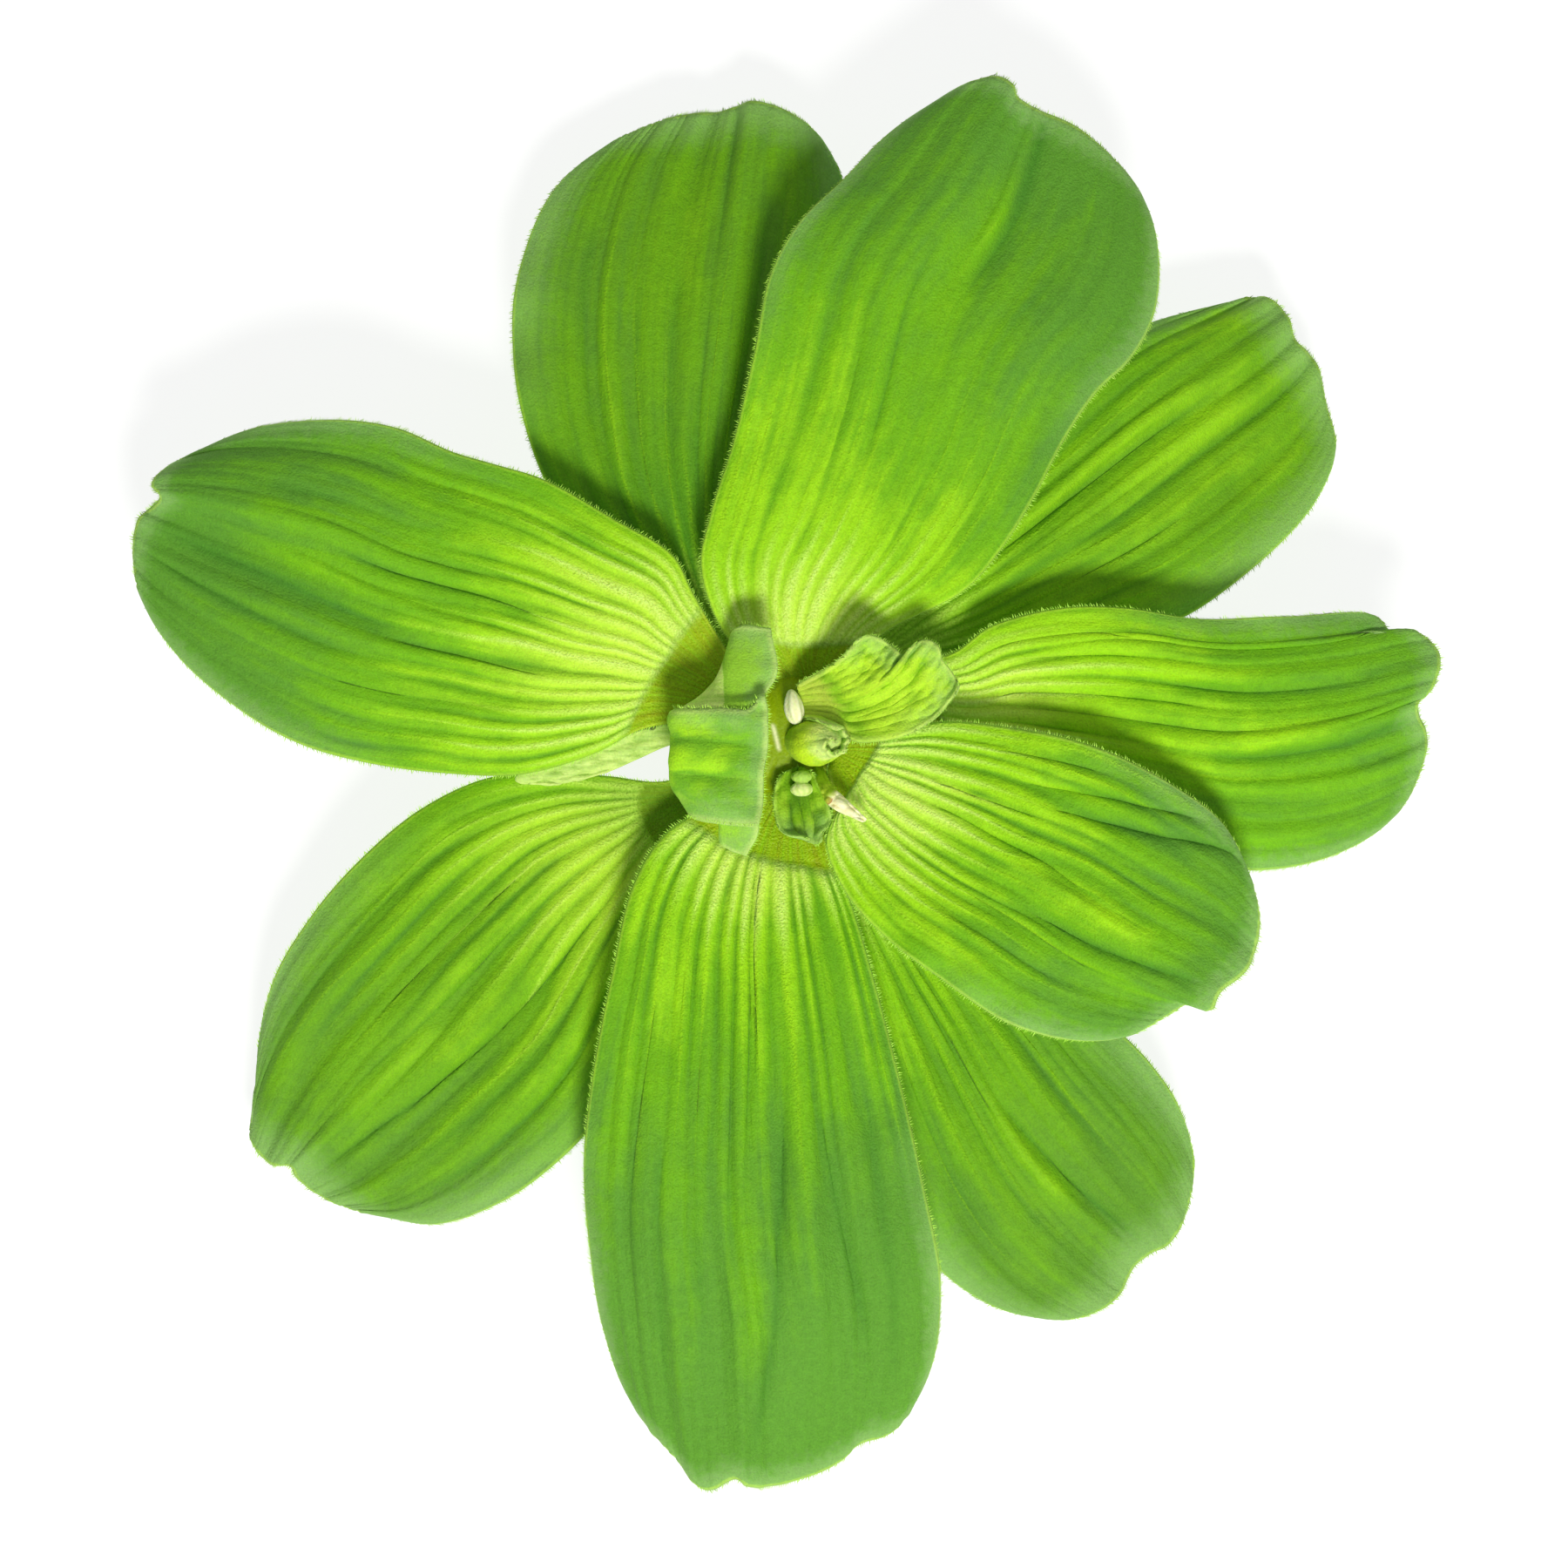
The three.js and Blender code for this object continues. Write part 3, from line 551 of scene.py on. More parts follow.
def four_around(values, places):
    """The two values before and the two after each place, and its share of the way between the inner two."""
    ends = np.concatenate([2 * values[:1] - values[1:2], values, 2 * values[-1:] - values[-2:-1]])
    i = np.minimum(places.astype(int), len(values) - 2)
    return [ends[i + k] for k in range(4)], places - i


def cubic(w, start, slope_in, end, slope_out):
    """A smooth value between start and end, which leaves and arrives with the given slopes."""
    return (
        (2 * w**3 - 3 * w**2 + 1) * start
        + (w**3 - 2 * w**2 + w) * slope_in
        + (3 * w**2 - 2 * w**3) * end
        + (w**3 - w**2) * slope_out
    )


def along(values, t):
    """A smooth value at share t of a line through evenly spaced values, which may be points."""
    values = np.asarray(values, float)
    (before, start, end, after), w = four_around(values, np.clip(t, 0, 1) * (len(values) - 1))
    w = w.reshape(w.shape + (1,) * (values.ndim - 1))
    return cubic(w, start, (end - before) / 2, end, (after - start) / 2)


def outline_line(points, first, last):
    """Fine points of the outline's centripetal spline from one of its points to another."""
    places = np.linspace(first, last, abs(last - first) * OUTLINE_STEPS + 1)
    (p0, p1, p2, p3), w = four_around(np.asarray(points, float), places)
    d0, d1, d2 = (np.sqrt(np.linalg.norm(b - a, axis=1))[:, None] for a, b in ((p0, p1), (p1, p2), (p2, p3)))
    slope_in = ((p1 - p0) / d0 - (p2 - p0) / (d0 + d1) + (p2 - p1) / d1) * d1
    slope_out = ((p2 - p1) / d1 - (p3 - p1) / (d1 + d2) + (p3 - p2) / d2) * d1
    return cubic(w[:, None], p1, slope_in, p2, slope_out)


def length_of(line):
    return np.linalg.norm(np.diff(line, axis=0), axis=1).sum()


def points_at(line, shares):
    """Points at given shares of a fine line's length."""
    lengths = np.concatenate([[0], np.cumsum(np.linalg.norm(np.diff(line, axis=0), axis=1))])
    return np.stack([np.interp(shares * lengths[-1], lengths, line[:, k]) for k in range(line.shape[1])], -1)


def drift(x, y, seed):
    """A smooth ripple of about -1 to 1 that never repeats: waves that run in seeded directions."""
    rng = np.random.default_rng(seed)
    total = 0
    for _ in range(RIPPLE_WAVES):
        angle, pitch, start = rng.uniform((0, 0.5, 0), (math.tau, 1.6, math.tau))
        total = total + np.sin(math.tau * pitch * (x * math.cos(angle) + y * math.sin(angle)) + start)
    return total / math.sqrt(RIPPLE_WAVES)


left_side = outline_line(LEAVES[0]["outline"], 0, LEAVES[0]["tip"][0])
print("left side of the first leaf, in mm:", round(length_of(left_side)))

# %% [markdown]
# A blade is a grid of points inside its outline. Rows go from the crown to the tip and columns from the
# right side to the left, so that every column follows a vein. The grid blends the two sides with the
# base and the tip, which is a Coons patch, and one column ends exactly in the notch at the tip.

# %% Plan of a blade
ROWS = 112
COLUMNS = 168
ROW_CROWDING = 1.3  # above 1, the rows stand closer together near the crown
EDGE_CROWDING = 0.35  # how much closer the columns stand near the two sides


def grid_shares(rows, columns):
    t = np.linspace(0, 1, rows + 1) ** ROW_CROWDING
    u = np.linspace(0, 1, columns + 1)
    s = (1 - EDGE_CROWDING) * u + EDGE_CROWDING * (1 - np.cos(math.pi * u)) / 2
    return s, t


def plan_grid(leaf, s, t):
    """Plan points of shape (rows, columns, 2), and the share across at which the notch stands."""
    outline = leaf["outline"]
    tip_start, notch, tip_end = leaf["tip"]
    left = points_at(outline_line(outline, 0, tip_start), t)
    right = points_at(outline_line(outline, len(outline) - 1, tip_end), t)
    right_tip = outline_line(outline, tip_end, notch)
    left_tip = outline_line(outline, notch, tip_start)
    notch_share = length_of(right_tip) / (length_of(right_tip) + length_of(left_tip))
    tip = np.where(
        (s <= notch_share)[:, None],
        points_at(right_tip, np.clip(s / notch_share, 0, 1)),
        points_at(left_tip, np.clip((s - notch_share) / (1 - notch_share), 0, 1)),
    )
    across, out = s[None, :, None], t[:, None, None]
    sides = right[:, None] * (1 - across) + left[:, None] * across
    base = right[0] * (1 - across) + left[0] * across
    tip_chord = tip[0] * (1 - across) + tip[-1] * across
    ends = base * (1 - out) + tip[None] * out
    corners = base * (1 - out) + tip_chord * out
    return sides + ends - corners, notch_share


print("a leaf's grid:", plan_grid(LEAVES[0], *grid_shares(ROWS, COLUMNS))[0].shape)

# %% [markdown]
# Relief comes next. Where the blade starts, it is folded into a dozen rounded ribs with sharp furrows
# between them. Outwards the ribs sink and leave thin pale veins, long folds run to the tip, and soft
# pleats lie between them. Formulas draw all of it, because the same sums then also say how strongly each
# vein shows in the colours, how much painted shade a fold gets and how much painted highlight a ridge gets.

# %% Ribs, folds and pleats
WIDE_RIB = 3.6  # narrower ribs are lower in proportion, in mm
UNEVEN_RIBS = 0.2  # how far a furrow may stand from its even place, as a share of a rib
RIB_WANDER = 0.009  # how far a rib may wander across, as a share of the leaf


def past_joint(leaf, s, t):
    """How far past the joint of stalk and blade each place is, as a share of the leaf."""
    return t - along(leaf["joint"], s)


def rib_relief(leaf, s, t, spacing, seed):
    """The ribs' height in mm, and for each place the number of the rib it is on, with a fraction."""
    rng = np.random.default_rng(seed)
    fade = rng.uniform(0.65, 1.2, leaf["ribs"]) * leaf["reach"]
    wander = RIB_WANDER * drift(s * 3, t * 3, seed + 1) * smoothstep(0.1, 0.5, t)
    uneven = UNEVEN_RIBS * drift(s * leaf["ribs"] * 0.3, 0 * s, seed + 3) / leaf["ribs"]
    place = np.clip((s + wander + uneven) * leaf["ribs"], 0, leaf["ribs"] - 1e-6)
    rib = place.astype(int)
    off_centre = np.abs(2 * (place - rib) - 1)
    past = past_joint(leaf, s, t)
    rise = smoothstep(-0.006, 0.02, past)
    strength = rise * (0.06 + 0.94 * np.exp(-((np.maximum(past, 0) / (0.62 * fade[rib])) ** 1.4)))
    outward = smoothstep(0.25, 0.6, past)
    rounded = 1 - off_centre ** 2.2
    wavy = 0.5 + 0.5 * np.cos(math.pi * off_centre)
    sides = 1 - 0.7 * np.abs(2 * s - 1) ** 4
    height = leaf["rib_height"] * strength * sides * (rounded * (1 - outward) + wavy * outward)
    return height * np.clip(spacing / WIDE_RIB, 0.25, 1), place


def fold_relief(s, t, folds):
    """Long folds: their depth in mm, and how strongly painted shade shows along each, below zero for a
    painted highlight along a ridge.
    """
    depth, line = 0, 0
    for s_start, s_end, t_start, t_end, fold_depth, width in folds:
        share = np.clip((t - t_start) / (t_end - t_start), 0, 1)
        bend = s_start + (s_end - s_start) * share**1.5
        distance = np.abs(s - bend)
        window = smoothstep(0, 0.25, share) * (1 - smoothstep(0.7, 1, share))
        depth = depth + fold_depth * window * np.exp(-((distance / width) ** 1.4))
        strength = math.copysign(min(abs(fold_depth) * 1.3, 1), fold_depth) * window
        line = line + strength * np.exp(-((distance / (0.6 * width)) ** 2))
    return depth, np.clip(line, -1, 1)


def pleats(s, t, seed):
    """Soft pleats that run along the veins, about 5 mm and 2 mm apart."""
    broad = drift(s * 9, t * 1.1, seed)
    fine = drift(s * 24, t * 2.2, seed + 1)
    return broad + 0.25 * fine


print("long folds in all:", sum(len(leaf["folds"]) for leaf in LEAVES))

# %% [markdown]
# The middle surface of a leaf adds all of that to its arch. Broad swellings, a gently waving margin and a
# crease that runs in from the notch come on top, and the leaf thins out towards its tip and its margin.
# The masks tell the colours what is where: the rib and how wide it is, how old the tissue is between its
# yellow-green base and its deep green tip, with painted shade in the valleys and painted light on raised
# pleats, how far past the pale base it lies, where painted shade darkens the folds and a painted shadow
# the inner end, where the joint is dark and a painted highlight lightens the ridges, how dark the painted
# shade in the furrows is, and where the stalk is.

# %% Surface of a leaf
CREASE_STEEP = 0.07  # how far the crease reaches to its steep side, as a share of the width
CREASE_GENTLE = 0.22
BLADE_BASE = 3.0  # thickness at the crown, in mm
BLADE_MIDDLE = 1.7
BLADE_TIP = 1.1
RIM_SHARE = 0.45  # thickness at the sides, as a share of that in the middle
STALK_DROP = 0.5  # how far the stalk lies below the blade's first ribs, in mm
FURROW_DROP = 0.2  # how far the furrows lie below the even upper skin, in mm
SWELL = 0.5  # height of the broad swellings, in mm
MARGIN_WAVE = 0.5  # height of the waves at the margin, in mm
JOINT_LINE = 0.006  # width of the dark line where stalk and blade meet, as a share of the leaf


def shade_of(leaf, t, past):
    """The painted shadow that lies on the inner end of a leaf, and the dark line where its blade starts."""
    strength, reach = leaf.get("painted_shadow", (0, 1))
    shadow = strength * (1 - smoothstep(0.4 * reach, reach, t))
    return np.maximum(shadow, np.exp(-(((past - JOINT_LINE / 2) / JOINT_LINE) ** 2)))


def leaf_surface(leaf, seed):
    """The middle surface of a leaf in mm, its half thicknesses and its masks."""
    s, t = grid_shares(ROWS, COLUMNS)
    plan, notch_share = plan_grid(leaf, s, t)
    spacing = np.linalg.norm(np.gradient(plan, s, axis=1), axis=-1) / leaf["ribs"]
    s, t = s[None, :], t[:, None]
    across = 2 * s - 1
    ribs, place = rib_relief(leaf, s, t, spacing, seed)
    valley, fold_line = fold_relief(s, t, leaf["folds"])
    height, steep_side = leaf["crease"]
    crease_reach = np.where((s - notch_share) * steep_side > 0, CREASE_STEEP, CREASE_GENTLE)
    crease = height * smoothstep(0.45, 1, t) * np.exp(-(((s - notch_share) / crease_reach) ** 2))
    outward = smoothstep(0.15, 0.6, t)
    pleat = leaf["pleat"] * pleats(s, t, seed + 5) * outward * (1 - np.abs(across) ** 6)
    swell = SWELL * outward * drift(s * 2.2, t * 1.4, seed + 2)
    margin_wave = MARGIN_WAVE * np.abs(across) ** 5 * smoothstep(0.1, 0.5, t) * drift(s, t * 6, seed + 4)
    z = along(leaf["spine"], t) + along(leaf["cup"], t) * across**2 + leaf["roll"] * across * t
    z = z + crease + swell + pleat + margin_wave - valley + ROSETTE_HEIGHT
    half = along((BLADE_BASE, BLADE_MIDDLE, BLADE_MIDDLE, BLADE_TIP), t) / 2
    half = half * (1 - (1 - RIM_SHARE) * np.abs(across) ** 4)

    past = past_joint(leaf, s, t)
    stalk = 1 - smoothstep(-0.008, 0.004, past)
    cool_right, cool_left = leaf["cool"]
    cool = (cool_right * (1 - s) ** 2 + cool_left * s**2) * smoothstep(0.08, 0.5, t)
    tone, slope = leaf["tone"]
    furrow_shade_right, furrow_shade_left = leaf["furrow_shades"]
    masks = {
        "rib": place,
        "spacing": spacing,
        # How old the tissue looks, with painted shade in fold valleys and painted light on raised pleats.
        "age": tone + slope * past + 0.6 * cool + 0.12 * np.abs(across) ** 3 - 0.2 * pleat + 0.18 * valley,
        "fresh": past / leaf["pale"] + 0.7 * across**2,
        # Painted shade along folds, a painted highlight on ridges below zero, the painted shadow over the
        # inner end, and the dark joint line.
        "fold": np.maximum(fold_line, shade_of(leaf, t, past)),
        # How strong the painted shade in the furrows is, from the right side to the left.
        "seam": furrow_shade_right + (furrow_shade_left - furrow_shade_right) * s,
        "stalk": stalk,
    }
    up = half + ribs - STALK_DROP * stalk - FURROW_DROP
    return np.dstack([plan, z]), up, half + 0.6 * ribs, masks, (s, t)


print("leaf surfaces hold", len(leaf_surface(LEAVES[0], seed=0)[3]), "masks")

# %% [markdown]
# A surface becomes a closed sheet when it is pushed up and down along its own normals and a rounded rim
# joins the two skins. The distance of each point from the margin is measured on the way, because the rim
# of these leaves is thin and pale. Everything that the colours need is stored as named attributes, and
# the shares along and across the leaf become its UV map.

# %% Closed sheet
RIM_BULGE = 0.4  # how far the rim stands out past the border, as a share of the thickness there
HAIR_LINES = []  # points and hair directions along the margins, filled while the sheets are made


def unit(vectors):
    return vectors / np.maximum(np.linalg.norm(vectors, axis=-1, keepdims=True), 1e-12)


def normals_of(surface):
    return unit(np.cross(np.gradient(surface, axis=0), np.gradient(surface, axis=1)))


def even_shares(rows, columns):
    """Even shares across and along a grid, as a row and a column of numbers."""
    return np.linspace(0, 1, columns + 1)[None, :], np.linspace(0, 1, rows + 1)[:, None]


def margin_distance(surface):
    """How far each grid point is from the two sides and the tip, in mm."""
    def walked(axis):
        steps = np.linalg.norm(np.diff(surface, axis=axis), axis=-1)
        pad = [(1, 0), (0, 0)] if axis == 0 else [(0, 0), (1, 0)]
        return np.pad(np.cumsum(steps, axis=axis), pad)

    out, over = walked(0), walked(1)
    return np.minimum(np.minimum(over, over[:, -1:] - over), out[-1:] - out)


def border_of(rows, columns):
    """Grid places round the border, in the order that keeps the rim's faces pointing out."""
    down = [(i, 0) for i in range(rows)]
    tip = [(rows, j) for j in range(columns)]
    back = [(i, columns) for i in range(rows, 0, -1)]
    base = [(0, j) for j in range(columns, 0, -1)]
    return np.array(down + tip + back + base)


def sheet_faces(rows, columns, edge):
    """Faces of the two skins, and of the two strips that join them to the rim."""
    width = columns + 1
    count = (rows + 1) * width
    a = (np.arange(rows)[:, None] * width + np.arange(columns)).ravel()
    quads = np.stack([a, a + width, a + width + 1, a + 1], 1)
    after = np.roll(edge, -1)
    ring = 2 * count + np.arange(len(edge))
    ring_after = np.roll(ring, -1)
    return np.concatenate([
        quads,
        quads[:, ::-1] + count,
        np.stack([edge, ring, ring_after, after], 1),
        np.stack([ring, edge + count, after + count, ring_after], 1),
    ])


def make_object(name, points, faces, material):
    mesh = bpy.data.meshes.new(name)
    mesh.from_pydata(np.asarray(points).tolist(), [], faces)
    mesh.polygons.foreach_set("use_smooth", [True] * len(mesh.polygons))
    mesh.materials.append(material)
    return add_object(name, mesh)


def store(mesh, name, values):
    layer = mesh.attributes.new(name, "FLOAT", "POINT")
    layer.data.foreach_set("value", np.asarray(values, np.float32).ravel())


def make_sheet(name, surface, up, down, masks, material, shares=None, hairy=True):
    """A closed sheet from a surface in mm, with its thickness above and below and its masks."""
    rows, columns = surface.shape[0] - 1, surface.shape[1] - 1
    normal = normals_of(surface)
    up, down = (np.broadcast_to(h, surface.shape[:2])[..., None] for h in (up, down))
    top, bottom = surface + normal * up, surface - normal * down
    border = border_of(rows, columns)
    inside = np.clip(border, 1, [rows - 1, columns - 1])
    at_border, at_inside = (tuple(places.T) for places in (border, inside))
    outward = unit(surface[at_border] - surface[at_inside])
    rim = (top[at_border] + bottom[at_border]) / 2 + outward * RIM_BULGE * (up + down)[at_border]
    if hairy:
        HAIR_LINES.append((np.vstack([rim, rim[:1]]), np.vstack([outward, outward[:1]])))
    points = np.concatenate([top.reshape(-1, 3), bottom.reshape(-1, 3), rim]) * MM
    edge = border[:, 0] * (columns + 1) + border[:, 1]
    piece = make_object(name, points, sheet_faces(rows, columns, edge).tolist(), material)

    def on_both_skins(values):
        values = np.broadcast_to(values, surface.shape[:2]).ravel()
        return np.concatenate([values, values, values[edge]])

    mesh = piece.data
    for mask, values in {"rim": margin_distance(surface), **masks}.items():
        store(mesh, mask, on_both_skins(values))
    count = (rows + 1) * (columns + 1)
    store(mesh, "back", np.repeat([0.0, 1.0, 0.5], [count, count, len(edge)]))
    s, t = shares or even_shares(rows, columns)
    corners = np.empty(len(mesh.loops), np.int32)
    mesh.loops.foreach_get("vertex_index", corners)
    uv = mesh.uv_layers.new(name="blade")
    uv.data.foreach_set("uv", np.stack([on_both_skins(t), on_both_skins(s)], 1)[corners].ravel())
    return piece


print("points round the border of a blade:", len(border_of(ROWS, COLUMNS)))

# %% [markdown]
# Leaf tissue is one node group that every green piece uses with its own colours. It reads the masks and
# the place along and across the leaf. The base is pale, the middle a bright yellow-green and the tip a
# deep, slightly blue green, and long soft patches stretched along the veins break up the change. Every
# rib has a pale crest and painted shade in the furrow beside it, each with a strength and a reach of its
# own. Folds get painted shade, ridges a painted highlight, and the inner ends of some leaves a painted
# shadow. A whitish haze of hairs with a painted sheen reaches in from the outer margins, and a velvet
# grain lies over all of it.

# %% Leaf tissue group
TISSUE_MASKS = ("rib", "spacing", "age", "fresh", "fold", "seam", "rim", "back", "stalk")
mask_values = {
    "Rib": 0.5, "Spacing": 4.0, "Age": 0.5, "Fresh": 1.0, "Fold": 0.0, "Seam": 0.5, "Rim": 10.0, "Back": 0.0,
    "Stalk": 0.0,
}
reaches = {"Reach": 0.5, "Margin": 0.4, "Fringe": 4.5}
tissue_colours = {
    "Pale": srgb(202, 240, 70),
    "Bright": srgb(156, 216, 10),
    "Deep": srgb(112, 178, 6),
    "Tip": srgb(92, 152, 40),
    # Shade is the colour of painted shade and painted shadows; the ridge colour two lines down is a painted
    # highlight, and the one after it a whitish haze of hairs with a painted sheen.
    "Shade": srgb(50, 118, 22),
    "Line": srgb(222, 250, 136),
    "Frost": srgb(146, 200, 82),
    "Bloom_And_Sheen": srgb(150, 194, 112),
    "Underside": srgb(140, 184, 96),
    "Stem": srgb(156, 172, 0),
}
tissue, tissue_in, tissue_out = new_group(
    "Leaf tissue",
    typed("Vector", {"Blade": None, "Position": None})
    | typed("Float", mask_values | reaches)
    | typed("Color", tissue_colours),
    {"Color": "Color", "Roughness": "Float", "Height": "Float"},
)


def stretched_noise(tree, vector, along_scale, across_scale, detail=3.0):
    """Noise between about -0.5 and 0.5 that is drawn out along the leaf."""
    scale = (along_scale, across_scale, 1.0)
    place = add_node(tree, "ShaderNodeMapping", {"Vector": vector, "Scale": scale}).outputs[0]
    sockets = {"Vector": place, "Scale": 1.0, "Detail": detail, "Roughness": 0.55}
    return calc(tree, "SUBTRACT", add_node(tree, "ShaderNodeTexNoise", sockets).outputs["Fac"], 0.5)


def fine_noise(tree, position, scale, detail=2.0):
    sockets = {"Vector": position, "Scale": scale, "Detail": detail}
    return calc(tree, "SUBTRACT", add_node(tree, "ShaderNodeTexNoise", sockets).outputs["Fac"], 0.5)


def random_for(tree, number, seed):
    """A fixed random value from 0 to 1 for each whole number."""
    sockets = {"W": calc(tree, "ADD", number, seed)}
    return add_node(tree, "ShaderNodeTexWhiteNoise", sockets, noise_dimensions="1D").outputs["Value"]


def product(tree, *values):
    """All the values multiplied together."""
    total = values[0]
    for value in values[1:]:
        total = calc(tree, "MULTIPLY", total, value)
    return total


def lighten(tree, colour, shade):
    """The colour made lighter or, by a shade below 1, darker."""
    grey = add_node(tree, "ShaderNodeCombineColor", {0: shade, 1: shade, 2: shade}).outputs[0]
    return mix_colour(tree, 1.0, colour, grey, "MULTIPLY")


def vein_and_furrow(tree, given, t, grain):
    """The painted shading across each rib, and how strongly its pale crest and the painted shade in the
    furrows beside it show.
    """
    rib = calc(tree, "FLOOR", given["Rib"])
    off_centre = calc(tree, "SUBTRACT", calc(tree, "SUBTRACT", given["Rib"], rib), 0.5)
    off_centre = calc(tree, "ABSOLUTE", off_centre)
    from_crest = calc(tree, "MULTIPLY", off_centre, given["Spacing"])
    from_furrow = calc(tree, "MULTIPLY", calc(tree, "SUBTRACT", 0.5, off_centre), given["Spacing"])
    reach = product(tree, calc(tree, "MULTIPLY_ADD", random_for(tree, rib, 3.5), 0.7, 0.6), given["Reach"])
    beads = calc(tree, "MULTIPLY_ADD", grain, 2.4, 0.8, clamp=True)
    crest_left = remap(tree, calc(tree, "SUBTRACT", reach, t), -0.1, 0.3)
    crest_width = remap(tree, t, 0.42, 0.1, 0.35, 1.0)
    near_crest = calc(tree, "SUBTRACT", 1.0, calc(tree, "DIVIDE", from_crest, crest_width), clamp=True)
    vein = product(tree, near_crest, crest_left, beads)
    furrow_number = calc(tree, "FLOOR", calc(tree, "ADD", given["Rib"], 0.5))
    depth = calc(tree, "MULTIPLY_ADD", random_for(tree, furrow_number, 71.5), 0.9, 0.2)
    furrow_shade_reach = calc(tree, "MULTIPLY_ADD", random_for(tree, furrow_number, 19.5), 0.8, 0.4)
    furrow_shade_reach = calc(tree, "MULTIPLY_ADD", given["Seam"], 0.3, product(tree, furrow_shade_reach, given["Reach"]))
    furrow_shade_left = remap(tree, calc(tree, "SUBTRACT", furrow_shade_reach, t), -0.15, 0.25)
    furrow = product(tree, remap(tree, from_furrow, 0.04, 0.7, 1.0, 0.0), depth, furrow_shade_left, given["Seam"])
    rib_shading = product(tree, calc(tree, "SUBTRACT", off_centre, 0.25), furrow_shade_left, given["Seam"])
    return rib_shading, vein, furrow


def blade_colour(tree, given, age, fresh, vein, furrow):
    """The colour of the upper side, from the pale base to the cool tip, with painted shade and painted
    highlights laid on.
    """
    colour = mix_colour(tree, remap(tree, age, 0.2, 0.6), given["Bright"], given["Deep"])
    colour = mix_colour(tree, remap(tree, age, 0.55, 1.0), colour, given["Tip"])
    colour = mix_colour(tree, remap(tree, fresh, 0.05, 1.2, 1.0, 0.0), colour, given["Pale"])
    # Painted shade in the furrows, yellow-green near the base and darker further out.
    furrow_tone = mix_colour(tree, remap(tree, age, 0.05, 0.4), given["Bright"], given["Shade"])
    colour = mix_colour(tree, furrow, colour, furrow_tone)
    # Painted shade along the folds, and the painted shadow over the inner end with the dark joint line.
    fold = calc(tree, "MULTIPLY", calc(tree, "MAXIMUM", given["Fold"], 0.0), 0.5)
    colour = mix_colour(tree, fold, colour, given["Shade"])
    crest_tone = mix_colour(tree, remap(tree, fresh, 0.6, 1.5), given["Line"], given["Bright"])
    colour = mix_colour(tree, calc(tree, "MULTIPLY", vein, 0.6), colour, crest_tone)
    # A painted highlight along the ridges.
    ridge = calc(tree, "MAXIMUM", calc(tree, "MULTIPLY", given["Fold"], -0.5), 0.0)
    return mix_colour(tree, ridge, colour, given["Frost"])


def under_colour(tree, given, streaks, vein):
    """The colour of the lower side, with dark streaks and pale veins."""
    dark_part = calc(tree, "MULTIPLY_ADD", streaks, 0.9, 0.3, clamp=True)
    under = mix_colour(tree, dark_part, given["Underside"], given["Deep"])
    return mix_colour(tree, calc(tree, "MULTIPLY", vein, 0.5), under, given["Pale"])


def stem_colour(tree, given, streaks, threads):
    """The colour of the stalk, with green streaks and dark threads, and darker under the painted shadow."""
    green_part = calc(tree, "MULTIPLY_ADD", streaks, 2.2, 0.35, clamp=True)
    stem = mix_colour(tree, green_part, given["Stem"], given["Bright"])
    stem = mix_colour(tree, remap(tree, threads, 0.06, 0.2, 0.0, 0.45), stem, given["Shade"])
    shaded_part = calc(tree, "MULTIPLY", given["Fold"], 0.5, clamp=True)
    return mix_colour(tree, shaded_part, stem, given["Shade"])


def margin_colour(tree, given, colour, t, velvet):
    """The colour, with the whitish haze of hairs and its painted sheen at the outer margins and the pale rim
    laid over it.
    """
    from_rim = calc(tree, "MULTIPLY_ADD", velvet, 5.0, given["Rim"])
    from_rim = calc(tree, "DIVIDE", from_rim, given["Fringe"])
    # A whitish haze of hairs with a painted sheen, near the outer margins towards the tip.
    bloom_and_sheen = product(tree, remap(tree, from_rim, 0.0, 1.0, 0.55, 0.0), remap(tree, t, 0.45, 0.85))
    colour = mix_colour(tree, bloom_and_sheen, colour, given["Bloom_And_Sheen"])
    from_margin = calc(tree, "DIVIDE", given["Rim"], given["Margin"])
    return mix_colour(tree, remap(tree, from_margin, 1.0, 0.1, 0.0, 0.3), colour, given["Pale"])


